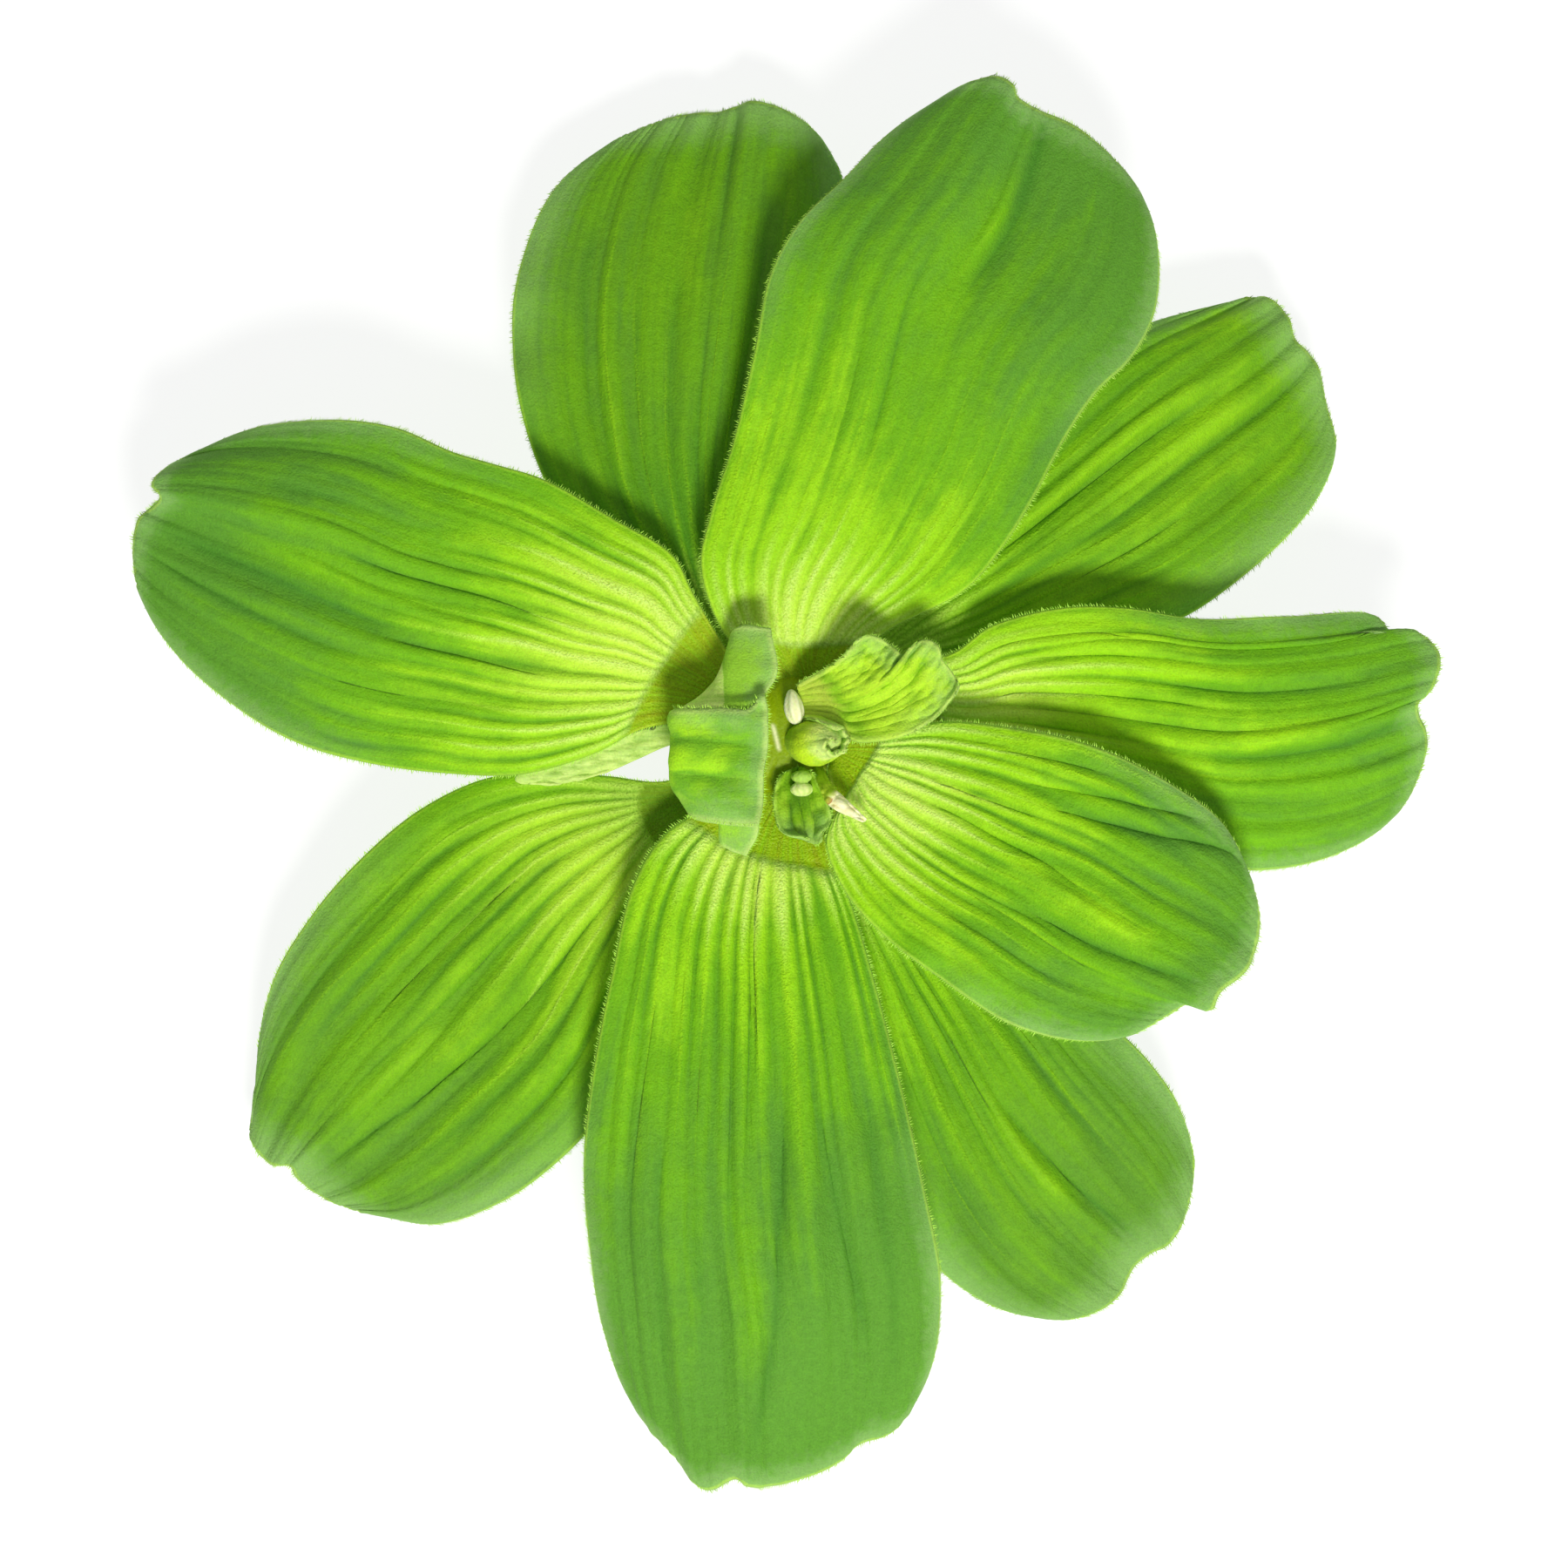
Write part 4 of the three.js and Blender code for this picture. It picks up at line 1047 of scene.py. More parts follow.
def build_tissue(tree, given, result):
    t = add_node(tree, "ShaderNodeSeparateXYZ", {0: given["Blade"]}).outputs["X"]
    patches = stretched_noise(tree, given["Blade"], 3.2, 7.0)
    streaks = stretched_noise(tree, given["Blade"], 4.5, 30.0)
    threads = stretched_noise(tree, given["Blade"], 14.0, 170.0, 2.0)
    mottle = fine_noise(tree, given["Position"], 230.0, 3.0)
    velvet = fine_noise(tree, given["Position"], 800.0, 3.0)
    grain = fine_noise(tree, given["Position"], 3200.0)

    rib_shading, vein, furrow = vein_and_furrow(tree, given, t, grain)
    change = calc(tree, "MULTIPLY_ADD", patches, 0.8, calc(tree, "MULTIPLY", streaks, 0.45))
    # Painted shading across each rib: darker towards the furrows and paler at the crest.
    change = calc(tree, "MULTIPLY_ADD", rib_shading, 1.1, change)
    fresh = calc(tree, "MULTIPLY_ADD", change, 1.5, given["Fresh"])
    age = calc(tree, "ADD", given["Age"], calc(tree, "MULTIPLY_ADD", mottle, 0.35, change))
    furrow = calc(tree, "MULTIPLY", furrow, calc(tree, "MULTIPLY_ADD", patches, 3.0, 0.85, clamp=True))
    colour = blade_colour(tree, given, age, fresh, vein, furrow)
    colour = mix_colour(tree, given["Back"], colour, under_colour(tree, given, streaks, vein))
    colour = mix_colour(tree, given["Stalk"], colour, stem_colour(tree, given, streaks, threads))
    colour = margin_colour(tree, given, colour, t, velvet)

    shade = calc(tree, "MULTIPLY_ADD", threads, 0.1, 1.0)
    shade = calc(tree, "MULTIPLY_ADD", grain, 0.45, shade)
    shade = calc(tree, "MULTIPLY_ADD", velvet, 0.28, shade)
    tree.links.new(lighten(tree, colour, shade), result["Color"])
    gloss = calc(tree, "MULTIPLY_ADD", given["Stalk"], -0.25, 0.7)
    tree.links.new(calc(tree, "MULTIPLY_ADD", patches, 0.15, gloss), result["Roughness"])
    height = calc(tree, "MULTIPLY_ADD", vein, 0.8, grain)
    height = calc(tree, "MULTIPLY_ADD", threads, 0.5, height)
    height = calc(tree, "MULTIPLY_ADD", furrow, -1.2, height)
    tree.links.new(calc(tree, "MULTIPLY_ADD", velvet, 1.2, height), result["Height"])


build_tissue(tissue, tissue_in, tissue_out)
print("leaf tissue nodes:", len(tissue.nodes))

# %% [markdown]
# Each layer of leaves is a material that places the group with colours of its own. The lower leaves are
# duller and their whitish haze of hairs, with its painted sheen, reaches further in, and the young leaf that
# rises over the others is paler. A little sheen stands for the velvet, and light scatters a millimetre deep,
# as it does in soft wet tissue.

# %% Leaf materials
SCATTER_DEPTH = 1.0 * MM


def attribute(tree, name):
    return add_node(tree, "ShaderNodeAttribute", attribute_name=name).outputs["Fac"]


def leaf_material(name, **values):
    """A velvety leaf finish: the shared tissue group with this layer's own values."""
    material, tree, shader = new_material(name)
    inputs = {mask.title(): attribute(tree, mask) for mask in TISSUE_MASKS}
    inputs["Blade"] = add_node(tree, "ShaderNodeUVMap", uv_map="blade").outputs[0]
    inputs["Position"] = add_node(tree, "ShaderNodeTexCoord").outputs["Object"]
    group = add_node(tree, "ShaderNodeGroup", inputs | values, node_tree=tissue)
    fill(tree, shader, {
        "Base Color": group.outputs["Color"],
        "Roughness": group.outputs["Roughness"],
        "Normal": bumped(tree, group.outputs["Height"], 0.14 * MM, 0.9),
        "Sheen Weight": 0.09,
        "Sheen Roughness": 0.5,
        "Sheen Tint": srgb(214, 240, 160),
        "Specular IOR Level": 0.22,
        "Subsurface Weight": 0.2,
        "Subsurface Radius": (0.6, 1.0, 0.15),
        "Subsurface Scale": SCATTER_DEPTH,
    })
    return material


upper_leaf = leaf_material("upper leaf")
lower_leaf = leaf_material(
    "lower leaf",
    Reach=0.7,
    Fringe=8.0,
    Pale=srgb(186, 226, 54),
    Bright=srgb(140, 198, 8),
    Deep=srgb(108, 168, 6),
    Tip=srgb(92, 146, 34),
    Line=srgb(196, 232, 96),
)
rising_leaf = leaf_material("rising leaf", Reach=0.65, Pale=srgb(212, 246, 92), Frost=srgb(192, 224, 106))
LAYER_MATERIAL = {"upper": upper_leaf, "lower": lower_leaf, "rising": rising_leaf}
print("leaf materials:", [m.name for m in LAYER_MATERIAL.values()])

# %% [markdown]
# Now the nine leaves can be built. Each rides on the plant's one body, and its plain solid is hidden.


def finish_piece(piece, node):
    """Lets a piece ride on the plant and hides its solid."""
    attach(piece, "root")
    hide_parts(node)
    print(piece.name, len(piece.data.polygons), "faces")


for number, leaf in enumerate(LEAVES):
    layer = leaf["layer"]
    surface, up, down, masks, shares = leaf_surface(leaf, seed=100 + 10 * number)
    blade = make_sheet(leaf["name"] + "_blade", surface, up, down, masks, LAYER_MATERIAL[layer], shares)
    finish_piece(blade, leaf["name"])

# %% [markdown]
# The young pieces in the middle are sheets too. Some are drawn through a small net of points in space, as
# a leaf that stands up and curls over must be. Others are drawn over an outline and raised to a height.
# Nets and outlines are those of the solid model. Each sheet then gets fine relief of its own.

# %% Small sheets
NO_VEINS = -1.0  # a reach below zero, so that no vein shows


def net_surface(net, rows, columns):
    """A smooth grid through a net of points, given as lines from the crown outwards."""
    s, t = even_shares(rows, columns)
    lines = np.stack([along(line, t[:, 0]) for line in net])
    return along(lines, s[0]).transpose(1, 0, 2) + (0, 0, ROSETTE_HEIGHT), s, t


def raised_surface(piece, rows, columns, height_at):
    """A grid over an outline, raised to a height at each place."""
    s, t = even_shares(rows, columns)
    plan, _ = plan_grid(piece, s[0], t[:, 0])
    return np.dstack([plan, height_at(s, t) + ROSETTE_HEIGHT]), s, t


def plain_masks(age, fold=0.0, **others):
    """Masks of a young sheet that has no ribs."""
    ribless = {"rib": 0.5, "spacing": 4.0, "fresh": 2.0, "seam": 0.0, "stalk": 0.0}
    return {**ribless, "age": age, "fold": fold, **others}


print("masks of a young sheet:", list(plain_masks(age=0.5)))

# %% [markdown]
# West of the bud a young leaf stands up and curls in, so that its smooth grey-green back shows from
# above. Its south lobe is domed, lime green and softly folded. Its north lobe passes under the south one
# and ends beside the west stalk in a pale flap. One net makes both lobes, and a small step in its height
# puts one above the other.

# %% Folded young leaf
FOLDED_NET = [
    [(-6.6, -4.6, 14.5), (-8.4, -11.5, 19.5), (-9.1, -16.2, 23.5), (-5.8, -17.6, 25.0)],
    [(-7.0, -4.0, 14.5), (-12.0, -9.8, 19.5), (-12.8, -12.0, 24.5), (-3.8, -13.2, 27.5)],
    [(-7.4, -3.2, 14.5), (-14.2, -5.2, 19.5), (-15.4, -6.4, 25.5), (-3.3, -6.0, 28.0)],
    [(-7.6, -2.4, 14.5), (-14.4, -0.6, 19.5), (-15.2, -0.6, 26.0), (-2.6, -0.2, 28.5)],
    [(-7.6, -1.8, 14.5), (-14.0, 2.6, 19.5), (-15.0, 3.3, 25.5), (-2.8, 4.8, 28.0)],
    [(-7.2, -1.2, 14.5), (-11.4, 5.4, 19.0), (-10.8, 6.0, 24.0), (-3.6, 5.4, 26.5)],
    [(-7.0, -0.6, 14.5), (-9.0, 8.0, 19.0), (-8.8, 9.6, 24.0), (-1.4, 9.4, 26.5)],
    [(-6.6, 0.0, 14.5), (-8.0, 11.5, 18.5), (-7.2, 15.6, 23.0), (-2.4, 15.6, 25.0)],
]
FOLDED_CREASES = [
    (0.44, 0.36, 0.5, 1.15, 0.4, 0.03), (0.31, 0.25, 0.55, 1.15, 0.5, 0.025),
    (0.22, 0.2, 0.45, 1.0, 0.3, 0.03), (0.345, 0.325, 0.45, 1.1, -0.2, 0.03),
    (0.48, 0.46, 0.7, 1.15, 0.25, 0.03), (0.8, 0.82, 0.6, 1.1, 0.15, 0.05),
]
YOUNG_THICKNESS = 1.0
LOBE_EDGE = [(0.5, 0.7, 0.85, 0.93, 0.97, 1), (0.57, 0.57, 0.55, 0.53, 0.57, 0.68)]
TAIL_EDGE = 0.14  # share across up to which the south end passes under the lobe too
TAIL_WEST = -9.3  # x past which that end is tucked in, in mm
OVERLAP = 0.25  # half the step from the south lobe down to what it covers, in mm
FLAP_SIDE = (-8.5, -8.9)  # x at which the pale flap starts and is fully pale, in mm
# The thin dark line along the flap is a painted shadow.
FLAP_SHADOW_LINE = -8.6  # x of the thin dark line along the flap, in mm


def fringe_lines(surface, half, s, t, edge):
    """Lines of hair along the two edges of the south lobe, where it lies over the rest."""
    rows = np.arange(len(t))
    top = surface + normals_of(surface) * np.broadcast_to(half, surface.shape[:2])[..., None]
    outer = rows[t[:, 0] > 0.45]
    at_edge = np.searchsorted(s[0], edge[outer, 0]) - 1
    HAIR_LINES.append((top[outer, at_edge], np.tile((-0.2, 1.0, 0.3), (len(outer), 1))))
    at_tail = np.full(len(outer), np.searchsorted(s[0], TAIL_EDGE) + 1)
    HAIR_LINES.append((top[outer, at_tail], np.tile((0.0, -1.0, 0.3), (len(outer), 1))))


def folded_leaf():
    surface, s, t = net_surface(FOLDED_NET, 110, 180)
    depth, line = fold_relief(s, t, FOLDED_CREASES)
    edge = np.interp(t, *LOBE_EDGE)
    past_edge = smoothstep(-0.004, 0.004, s - edge)
    in_tail = 1 - smoothstep(-0.004, 0.004, s - TAIL_EDGE)
    covered = np.maximum(past_edge, in_tail) * smoothstep(0.35, 0.5, t)
    dome = 0.35 * (1 - past_edge) * drift(s * 5 + t * 2, t * 3 - s * 2, 31)
    ruffle = 0.2 * smoothstep(0.85, 1, t) * drift(s * 12, t * 2, 32)
    lift = dome + ruffle - depth + OVERLAP * (1 - 2 * covered)
    surface = surface + normals_of(surface) * lift[..., None]
    x = surface[..., 0]
    np.maximum(x, TAIL_WEST, out=x, where=(in_tail > 0.5) & (t > 0.4))

    flap = past_edge * smoothstep(0.4, 0.48, t) * smoothstep(*FLAP_SIDE, x)
    flap_shadow_line = past_edge * np.exp(-(((x - FLAP_SHADOW_LINE) / 0.2) ** 2))
    # Painted shade in the valleys of the creases makes the lobe darker there.
    lobe_age_and_shade = 0.34 + 0.6 * depth.clip(0) + 0.14 * smoothstep(0.75, 0.95, t)
    lobe_age_and_shade = lobe_age_and_shade + 0.2 * (1 - smoothstep(0.14, 0.34, s))
    lobe_age_and_shade = lobe_age_and_shade + 0.08 * drift(s * 7 + t * 3, t * 4 - s * 3, 33)
    age = lobe_age_and_shade * (1 - covered) + covered * 0.95
    from_edge = np.minimum(np.abs(s - edge + 0.004), np.abs(s - TAIL_EDGE - 0.004)) * 34 + 3 * covered
    rim = np.minimum(margin_distance(surface), from_edge)
    fuzz = smoothstep(0.955, 0.985, t) * (1 - covered)
    paleness = np.maximum(0.7 * flap, 0.48 * fuzz)
    # Painted shade along the creases, and the painted shadow line by the flap.
    masks = plain_masks(age, np.maximum(0.15 * line, 0.4 * flap_shadow_line), rim=rim, fresh=2 - 2 * paleness)
    half = YOUNG_THICKNESS / 2 * (1 - 0.5 * smoothstep(0.8, 1, t))
    fringe_lines(surface, half, s, t, edge)
    return make_sheet("young_leaf_folded_blade", surface, half, half, masks, young_leaf)


young_leaf = leaf_material(
    "young leaf",
    Reach=NO_VEINS,
    Margin=1.0,
    Pale=srgb(232, 248, 146),
    Bright=srgb(164, 222, 26),
    Deep=srgb(112, 176, 28),
    Tip=srgb(148, 202, 50),
    Underside=srgb(150, 205, 70),
)
finish_piece(folded_leaf(), "young_leaf_folded")

# %% [markdown]
# The leaf north-east of the bud is ruffled all over and stands on a broad pale stalk with ribs. It is
# drawn over its outline, and waves that grow towards its tip crumple it.

# %% Ruffled young leaf
CRUMPLED_OUTLINE = {
    "outline": [
        (2.0, 7.6), (5.6, 9.4), (8.6, 11.6), (10.7, 13.9), (12.6, 14.5), (15.7, 12.9), (17.4, 11.4),
        (18.3, 12.7), (20.3, 13.8), (22.2, 13.1), (22.9, 11.0), (24.5, 9.0), (25.3, 7.1), (23.9, 4.8),
        (21.5, 2.3), (17.7, 0.2), (13.4, -0.7), (10.0, -0.6), (7.4, 1.4), (2.6, 2.6),
    ],
    "tip": (3, 6, 12),
}
CRUMPLED_CREASES = [
    (0.55, 0.65, 0.4, 1.15, 0.5, 0.04), (0.42, 0.47, 0.45, 0.95, 0.5, 0.025),
    (0.49, 0.56, 0.5, 1.0, -0.3, 0.03), (0.72, 0.79, 0.3, 1.1, 0.3, 0.02),
    (0.86, 0.9, 0.3, 1.1, 0.3, 0.03), (0.29, 0.35, 0.25, 1.05, 0.4, 0.02),
    (0.19, 0.17, 0.25, 0.8, 0.35, 0.015), (0.1, 0.1, 0.25, 0.95, 0.25, 0.02),
    (0.24, 0.27, 0.3, 0.9, 0.2, 0.012), (0.65, 0.7, 0.35, 1.1, -0.3, 0.03),
]
CRUMPLED_STALK_RIBS = 8


def crumpled_height(s, t):
    fold = 1.0 * t * np.sin(9.5 * s + 4 * t) + 0.3 * t * np.cos(17 * s - 6 * t + 1)
    return along((17.6, 21.5, 24.5, 25.5), t) + 1.5 * (2 * s - 1) ** 2 * (1 - t) + fold


def crumpled_leaf():
    surface, s, t = raised_surface(CRUMPLED_OUTLINE, 110, 150, crumpled_height)
    depth, line = fold_relief(s, t, CRUMPLED_CREASES)
    stalk_ribs = 0.22 * (1 - smoothstep(0.25, 0.6, t)) * np.cos(math.tau * CRUMPLED_STALK_RIBS * s)
    ruffle = smoothstep(0.25, 0.9, t) * (0.35 * drift(s * 6, t * 3, 41) + 0.22 * drift(s * 17, t * 5, 42))
    surface[..., 2] += ruffle + stalk_ribs - depth
    # Painted shading: darker in the creases, here and in the masks below, paler on raised ruffles and stalk
    # ribs.
    age = 0.95 - 0.75 * smoothstep(0.15, 0.55, t) + 0.1 * smoothstep(0.6, 1.0, t) + 0.25 * depth
    age = age - 0.1 * stalk_ribs - 0.3 * ruffle
    half = YOUNG_THICKNESS / 2 * (1 - 0.5 * t)
    masks = plain_masks(age, 0.35 * line)
    return make_sheet("young_leaf_crumpled_blade", surface, half, half, masks, crumpled_tissue)


crumpled_tissue = leaf_material(
    "ruffled leaf",
    Reach=NO_VEINS,
    Margin=0.8,
    Pale=srgb(222, 242, 118),
    Bright=srgb(182, 226, 44),
    Deep=srgb(138, 190, 26),
    Tip=srgb(188, 212, 72),
)
finish_piece(crumpled_leaf(), "young_leaf_crumpled")

# %% [markdown]
# The bud is a leaf that is still wound round itself, so it is one sheet whose radius shrinks as it turns.
# It leans to the east. The outer turn ends in a pale ruffled lip, and the inner turn closes over inside
# it. South of it a small cupped bract, pale at the rim and darkened by painted shade in its hollow, holds
# the spadix.

# %% Bud and cupped bract
BUD_FOOT = np.array((1.6, 0.0, 15.5))
BUD_MOUTH = np.array((6.4, -1.5, 25.0))
BUD_TURNS = 2
BUD_START = 1.75  # angle at which the outer turn starts, in radians
BUD_THICKNESS = 0.7
BUD_RIBS = 14
CUPPED_THICKNESS = 0.8
BRACT_OUTLINE = {
    "outline": [
        (2.6, -4.9), (4.1, -5.7), (5.2, -7.5), (6.0, -9.0), (6.3, -10.5), (6.7, -12.1), (6.2, -13.4),
        (5.4, -14.5), (5.2, -15.6), (4.0, -15.7), (2.6, -15.0), (0.8, -14.8), (-0.6, -14.0), (-1.2, -12.9),
        (-1.5, -11.2), (-1.7, -9.6), (-1.4, -7.6), (-0.6, -5.9), (0.8, -5.1),
    ],
    "tip": (8, 9, 10),
}
BRACT_CREASES = [
    (0.5, 0.44, 0.35, 1.15, 0.7, 0.05), (0.3, 0.2, 0.4, 1.1, 0.5, 0.05), (0.68, 0.74, 0.3, 1.1, 0.4, 0.05),
]


def bud():
    s, t = even_shares(90, 140)
    angle = BUD_START - math.tau * BUD_TURNS * s
    inner = smoothstep(0.3, 0.46, s)
    closing = smoothstep(0.55, 1, t)
    widest = 2.5 + 0.9 * smoothstep(0, 0.5, t)
    open_radius = widest * (1 - 0.42 * closing) + 0.2 * closing * np.sin(7 * angle + 1)
    closed_radius = (widest - 0.85) * np.sqrt(1 - 0.995 * closing**2)
    radius = open_radius * (1 - inner) + closed_radius * inner - 0.5 * smoothstep(0.5, 1, s)
    radius = np.maximum(radius, 0.05) + 0.04 * np.cos(BUD_RIBS * angle) * (1 - closing)
    along_axis = t - 0.08 * closing
    middle_line = BUD_FOOT + (BUD_MOUTH - BUD_FOOT) * along_axis[..., None]
    turn = np.dstack([radius * np.cos(angle), radius * np.sin(angle), -0.5 * t * radius * np.cos(angle)])
    surface = middle_line + turn + (0, 0, ROSETTE_HEIGHT) + closing[..., None] * (1.2, 0.6, 0.0)
    surface[..., 2] += 0.3 * closing * (1 - inner) * np.sin(9 * angle + 2)
    mouth = smoothstep(0.72, 0.9, t) * (1 - inner)
    paleness = np.maximum(mouth, 0.8 * closing * inner)
    masks = plain_masks(0.22 + 0.06 * np.cos(BUD_RIBS * angle), fresh=1.3 - 1.3 * paleness)
    return make_sheet("bud_rolled_leaf", surface, BUD_THICKNESS / 2, BUD_THICKNESS / 2, masks, bud_tissue)


def bract_height(s, t):
    return 18.7 + 1.2 * t + 1.8 * (2 * s - 1) ** 2 * np.sqrt(t)


def cupped_bract():
    surface, s, t = raised_surface(BRACT_OUTLINE, 56, 64, bract_height)
    across = 2 * s - 1
    depth, line = fold_relief(s, t, BRACT_CREASES)
    surface[..., 2] += 0.3 * np.abs(across) * drift(s * 3, t * 4, 51) - depth
    edge = np.maximum(np.abs(across), smoothstep(0.3, 1, t))
    # Painted shade in the hollow: darker away from the rim, and along the creases below.
    age = 1.05 - 0.95 * edge + 0.2 * drift(s * 4, t * 3, 52)
    half = CUPPED_THICKNESS / 2 * (1 - 0.5 * np.abs(across) ** 4)
    return make_sheet("bract_cupped_blade", surface, half, half, plain_masks(age, 0.5 * line), bract_tissue)


bud_tissue = leaf_material(
    "bud",
    Reach=NO_VEINS,
    Margin=0.6,
    Pale=srgb(234, 250, 132),
    Bright=srgb(192, 228, 34),
    Deep=srgb(150, 196, 10),
    Tip=srgb(120, 164, 8),
    Underside=srgb(200, 232, 90),
)
bract_tissue = leaf_material(
    "cupped bract",
    Reach=NO_VEINS,
    Margin=0.6,
    Pale=srgb(200, 236, 108),
    Bright=srgb(152, 198, 34),
    Deep=srgb(122, 174, 14),
    Tip=srgb(84, 134, 4),
)
finish_piece(bud(), "bud_rolled")
finish_piece(cupped_bract(), "bract_cupped")

# %% [markdown]
# The dry and the white pieces have little of a leaf's green, so they share a plainer finish, as a group of
# its own: a ground colour, a second colour in drawn-out streaks, spots of a third where the piece is
# spotted, and a fourth where it is still living. Flower parts and the crown use it too.

# %% Dry tissue
DRY_MASKS = ("relief", "spotted", "living")
dry_colours = {
    "Ground": srgb(240, 236, 222),
    "Second": srgb(214, 206, 170),
    "Spots": srgb(120, 60, 30),
    "Fresh": srgb(172, 204, 44),
}
dry, dry_in, dry_out = new_group(
    "Dry tissue",
    typed("Vector", {"Streaks": None, "Position": None})
    | typed("Float", {mask.title(): 0.0 for mask in DRY_MASKS})
    | typed("Color", dry_colours),
    {"Color": "Color", "Roughness": "Float", "Height": "Float"},
)


def build_dry(tree, given, result):
    streaks = fine_noise(tree, given["Streaks"], 1.0, 4.0)
    grain = fine_noise(tree, given["Position"], 2600.0)
    blotch = fine_noise(tree, given["Position"], 620.0, 3.0)
    low = calc(tree, "SUBTRACT", 0.5, given["Relief"], clamp=True)
    amount = calc(tree, "MULTIPLY_ADD", streaks, 2.4, low, clamp=True)
    colour = mix_colour(tree, amount, given["Ground"], given["Second"])
    spotted = calc(tree, "MULTIPLY_ADD", blotch, 1.6, given["Spotted"])
    colour = mix_colour(tree, remap(tree, spotted, 0.35, 0.75, 0.0, 0.9), colour, given["Spots"])
    colour = mix_colour(tree, given["Living"], colour, given["Fresh"])
    shade = calc(tree, "MULTIPLY_ADD", grain, 0.4, 1.0)
    tree.links.new(lighten(tree, colour, shade), result["Color"])
    tree.links.new(calc(tree, "MULTIPLY_ADD", blotch, 0.3, 0.5), result["Roughness"])
    tree.links.new(calc(tree, "MULTIPLY_ADD", streaks, 1.5, grain), result["Height"])


def dry_material(name, stretch, scatter=0.3, **colours):
    """Stretch gives the scale of the streaks along x, y and z, per metre."""
    material, tree, shader = new_material(name)
    place = add_node(tree, "ShaderNodeTexCoord").outputs["Object"]
    drawn_out = add_node(tree, "ShaderNodeMapping", {"Vector": place, "Scale": stretch}).outputs[0]
    inputs = {mask.title(): attribute(tree, mask) for mask in DRY_MASKS}
    inputs |= {"Streaks": drawn_out, "Position": place, **colours}
    group = add_node(tree, "ShaderNodeGroup", inputs, node_tree=dry)
    fill(tree, shader, {
        "Base Color": group.outputs["Color"],
        "Roughness": group.outputs["Roughness"],
        "Normal": bumped(tree, group.outputs["Height"], 0.15 * MM, 0.8),
        "Specular IOR Level": 0.2,
        "Subsurface Weight": scatter,
        "Subsurface Radius": (0.8, 1.0, 0.5),
        "Subsurface Scale": SCATTER_DEPTH,
    })
    return material


build_dry(dry, dry_in, dry_out)
print("dry tissue nodes:", len(dry.nodes))

# %% [markdown]
# The withered bract is limp, whitish and pink, with a brown end where it has dried first. The stipule is a
# thin membrane with dark fibres along one side. One is drawn through a net of points and the other over
# an outline, as the young leaves are, but neither is fringed with hairs.

# %% Withered bract and stipule
WITHERED_THICKNESS = 0.8
MEMBRANE_THICKNESS = 0.5
WITHERED_NET = [
    [(4.2, -5.0, 17.0), (5.1, -7.8, 22.0), (6.6, -10.4, 23.8), (11.2, -12.7, 24.8)],
    [(4.8, -4.8, 17.0), (5.9, -7.6, 22.6), (7.6, -9.7, 24.6), (11.6, -12.6, 24.7)],
    [(5.4, -4.6, 17.0), (6.8, -7.4, 22.0), (8.6, -9.2, 23.9), (11.9, -12.3, 24.8)],
]
STIPULE_OUTLINE = {
    "outline": [
        (-9.7, -0.4), (-17.0, -1.2), (-22.1, -3.4), (-27.5, -5.7), (-34.7, -7.2), (-40.0, -6.6),
        (-38.4, -4.7), (-29.0, -1.9), (-20.4, 1.6), (-9.4, 3.2),
    ],
    "tip": (4, 5, 6),
}


def withered_bract():
    surface, s, t = net_surface(WITHERED_NET, 64, 24)
    across = 2 * s - 1
    surface[..., 2] += 0.25 * drift(s * 1.5, t * 5, 61) + 0.2 * np.abs(across) * drift(s, t * 9, 62)
    spotted = 0.95 * np.exp(-(((t - 0.6) / 0.06) ** 2)) * smoothstep(-0.4, 0.5, -across)
    living = 1 - smoothstep(0.5, 0.6, t + 0.05 * across)
    masks = {"relief": 0.5 - np.abs(across) * 0.3, "spotted": spotted, "living": living}
    half = WITHERED_THICKNESS / 2 * (1 - 0.6 * across**2) * (1 - 0.5 * smoothstep(0.8, 1, t))
    return make_sheet("bract_withered_strip", surface, half, half, masks, withered, hairy=False)


def stipule_height(s, t):
    return along((10.5, 12.0, 13.0, 13.5), t) - 0.8 * s


def stipule():
    surface, s, t = raised_surface(STIPULE_OUTLINE, 120, 24, stipule_height)
    surface[..., 2] += 0.2 * drift(s * 2, t * 9, 71) * smoothstep(0.1, 0.4, t)
    fibres = 0.75 * (1 - smoothstep(0.05, 0.35, s)) - 0.1
    masks = {"relief": 0.3 + 0.2 * drift(s * 2, t * 5, 72), "spotted": fibres + 0 * t}
    half = MEMBRANE_THICKNESS / 2
    return make_sheet("stipule_membrane", surface, half, half, masks, membrane, hairy=False)


withered = dry_material(
    "withered bract", (900.0, 900.0, 900.0), Ground=srgb(255, 255, 196), Second=srgb(252, 230, 152),
    Spots=srgb(158, 84, 30),
)
membrane = dry_material(
    "membrane", (160.0, 1500.0, 1500.0), Ground=srgb(204, 228, 124), Second=srgb(150, 190, 76),
    Spots=srgb(52, 70, 22),
)
finish_piece(withered_bract(), "bract_withered")
finish_piece(stipule(), "stipule")

# %% [markdown]
# Solid little bodies are rings of points, closed by a pole at each end. A body that lies along Y gets its
# width from a formula, so that one function makes the pointed, ridged white spathe and the spadix, which
# has a swollen white foot and a glassy ring above it. Both grow out of the crown.

# %% Spathe and spadix
BODY_ROWS = 56
BODY_COLUMNS = 72


